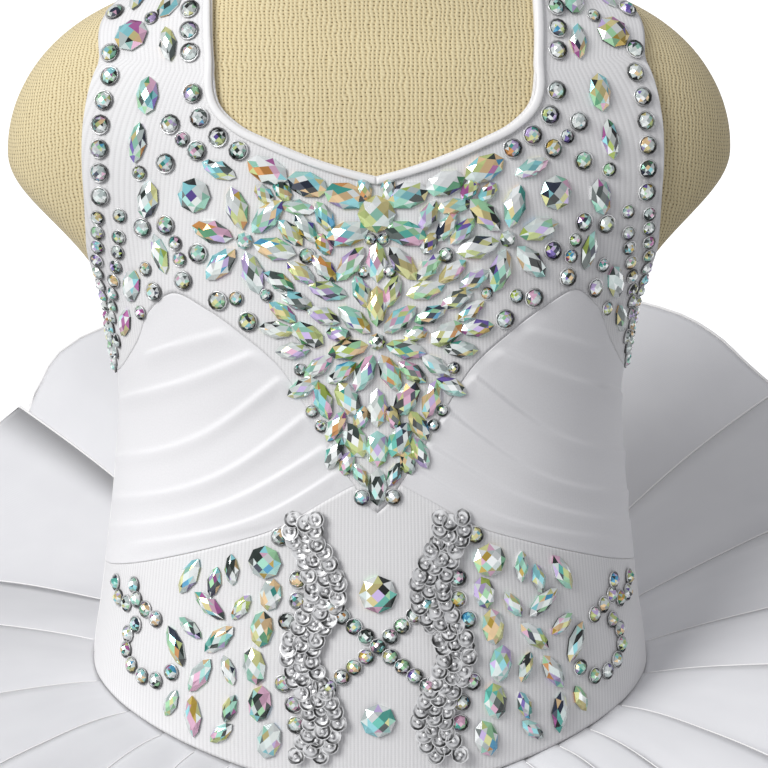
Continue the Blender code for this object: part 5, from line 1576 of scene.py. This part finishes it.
def fold_points(ruffle, tuck, side):
    """Angle, height and crest of each point on one half of a ruffle's ring, from centre front to centre back. Each
    fold's height is scaled by the square root of its width and by sines of its number, so that no two are alike."""
    last = len(ruffle.edges) - 2
    angles, heights, crests = [], [], []
    edges = np.array(ruffle.edges, float)
    behind = np.clip((edges - SHIFT_START) / (180 - SHIFT_START), 0, 1)
    edges -= side * SIDE_SHIFT * np.sin(math.pi * behind)
    with_lobe = side < 0 and ruffle.profile is FOLD
    if with_lobe:
        edges[LOBE_PLACE] += LOBE_SHIFT
    bends, lobe = section_points(ruffle.profile), section_points(LOBE_FOLD)
    for fold, (start, end) in enumerate(zip(edges, edges[1:])):
        width = end - start
        uneven = 1 + sum(s.share * math.sin(s.pace * fold + s.side * side) for s in FOLD_SWAY)
        uneven *= math.sqrt(width / MEAN_FOLD) * (LOW_FOLD if with_lobe and fold == LOBE_PLACE - 1 else 1)
        lean = LEAN_SWAY.share * math.sin(LEAN_SWAY.pace * fold + side) if 0 < fold < last else 0
        share, height, under = (lobe if with_lobe and fold == LOBE_PLACE else bends).T
        if fold == 0:
            under = np.maximum(under, 0)
        if fold == last:
            under = np.minimum(under, 0)
        angles.append(start + (share[None, :] + (under + lean)[None, :] * tuck[:, None]) * width)
        heights.append(height * uneven)
        crests.append(np.maximum(0, height))
    angles = np.concatenate(angles, axis=1) * side
    heights, crests = np.concatenate(heights), np.concatenate(crests)
    return (angles, heights, crests) if side > 0 else (angles[:, ::-1], heights[::-1], crests[::-1])


def ruffle_points(ruffle):
    """Fine grid of a ruffle, from the waist seam to the hem, all round. The rows' values run smoothly between the
    part's own rings and blend from front to side to back; a bell of the angle dips the left, and a sine down the
    length arches each petal."""
    rows = through(ruffle.rows, np.linspace(0, 1, RUFFLE_ROWS))
    reach = Reach(*rows.T)
    right, left = fold_points(ruffle, reach.tuck, 1), fold_points(ruffle, reach.tuck, -1)
    angles, heights, crests = (np.concatenate(halves, axis=-1) for halves in zip(right, left))
    front, middle, behind = STATIONS
    away = np.abs(angles)
    to_side = smooth_share((away - front) / (middle - front))
    to_back = smooth_share((away - middle) / (behind - middle))
    shares = (1 - to_side, to_side - to_back, to_back)
    out = sum(r[:, None] * s for r, s in zip((reach.front_out, reach.side_out, reach.back_out), shares))
    rise = sum(r[:, None] * s for r, s in zip((reach.front_rise, reach.side_rise, reach.back_rise), shares))
    out = out + ruffle.crests * crests[None, :] * (reach.fold / ruffle.rows[-1].fold)[:, None]
    dip = LEFT_DIP * np.exp(-(((angles - DIP_ANGLE) / DIP_WIDTH) ** 2))
    rise = rise + (SIDE_LIFT * np.sin(np.radians(angles)) - dip) * out / LIFT_REACH
    start = on_body(angles, seam_height(angles) - ruffle.start, CLEAR)
    points = start + outward(angles) * (out - CLEAR)[..., None]
    arch = PETAL_ARCH * np.sin(math.pi * np.linspace(0, 1, RUFFLE_ROWS))
    points[..., 2] += rise + reach.fold[:, None] * heights[None, :] + arch[:, None]
    return points


def make_ruffle(ruffle, flat, area):
    """A ruffle of petals with a rolled hem along each petal's free edge and round the foot."""
    points = ruffle_points(ruffle)
    length = np.concatenate([[0], np.cumsum(np.linalg.norm(np.diff(points, axis=0), axis=-1).mean(axis=1))])
    around = np.linalg.norm(points - np.roll(points, 1, axis=1), axis=-1)[-1]
    width = np.append(np.cumsum(around), around.sum() + around[0])
    cuts = np.stack(np.broadcast_arrays(width[None, :], length[:, None]), axis=-1)
    ring = np.concatenate([points, points[:, :1]], axis=1)
    body = add_piece(ruffle.name + "_petals", ring, grid_faces(*ring.shape[:2], flip=True), ORGANZA, cuts)
    cloth_wall(body, PETAL_WALL)
    ends = np.arange(1, len(ruffle.edges) - 1) * FOLD_POINTS - 1
    edges = np.concatenate([ends, points.shape[1] - 1 - ends])
    paths = points[1:, edges].transpose(1, 0, 2) + (0, 0, HEM_LIFT)
    rolled, faces = tubes(paths, np.linspace(*HEM_RADII, paths.shape[1]))
    foot, foot_faces = tubes(np.concatenate([points[-1], points[-1, :2]])[None], FOOT_RADIUS)
    hems = add_piece(ruffle.name + "_rolled_hems", np.concatenate([rolled, foot]),
                     np.concatenate([faces, foot_faces + len(rolled)]), SATIN)
    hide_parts(ruffle.name)


def make_underskirt():
    """The plain flared ground of the skirt, smooth between the part's own rings, with slight swells round it."""
    angles = np.linspace(-180, 180, UNDERSKIRT_POINTS[0])
    rows = through(UNDERSKIRT, np.linspace(0, 1, UNDERSKIRT_POINTS[1]))
    start = on_body(angles, seam_height(angles) - UNDERSKIRT_START, CLEAR)
    out, rise = rows[:, :1], rows[:, 1:]
    swell = SWELL * np.cos(np.radians(angles * SWELLS)) * (out / SWELL_REACH)
    grid = start[None] + outward(angles)[None] * (out - CLEAR + swell)[..., None]
    grid[..., 2] += rise
    length = np.concatenate([[0], np.cumsum(np.linalg.norm(np.diff(rows, axis=0), axis=1))])
    cuts = np.stack(np.broadcast_arrays(angles[None, :] * UNDERSKIRT_CUT, length[:, None]), axis=-1)
    skirt = add_piece("underskirt_satin", grid, grid_faces(*grid.shape[:2], flip=True), SATIN, cuts)
    cloth_wall(skirt, UNDERSKIRT_WALL)
    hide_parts("underskirt")


# Each ruffle's flat cut and the area of its cloth, in metres
RUFFLE_CUTS = {
    "ruffle_top": ((1.95, 0.19), 0.290),
    "ruffle_middle": ((1.70, 0.175), 0.235),
    "ruffle_lower": ((1.45, 0.16), 0.189),
}
make_underskirt()
for layer in RUFFLES:
    make_ruffle(layer, *RUFFLE_CUTS[layer.name])
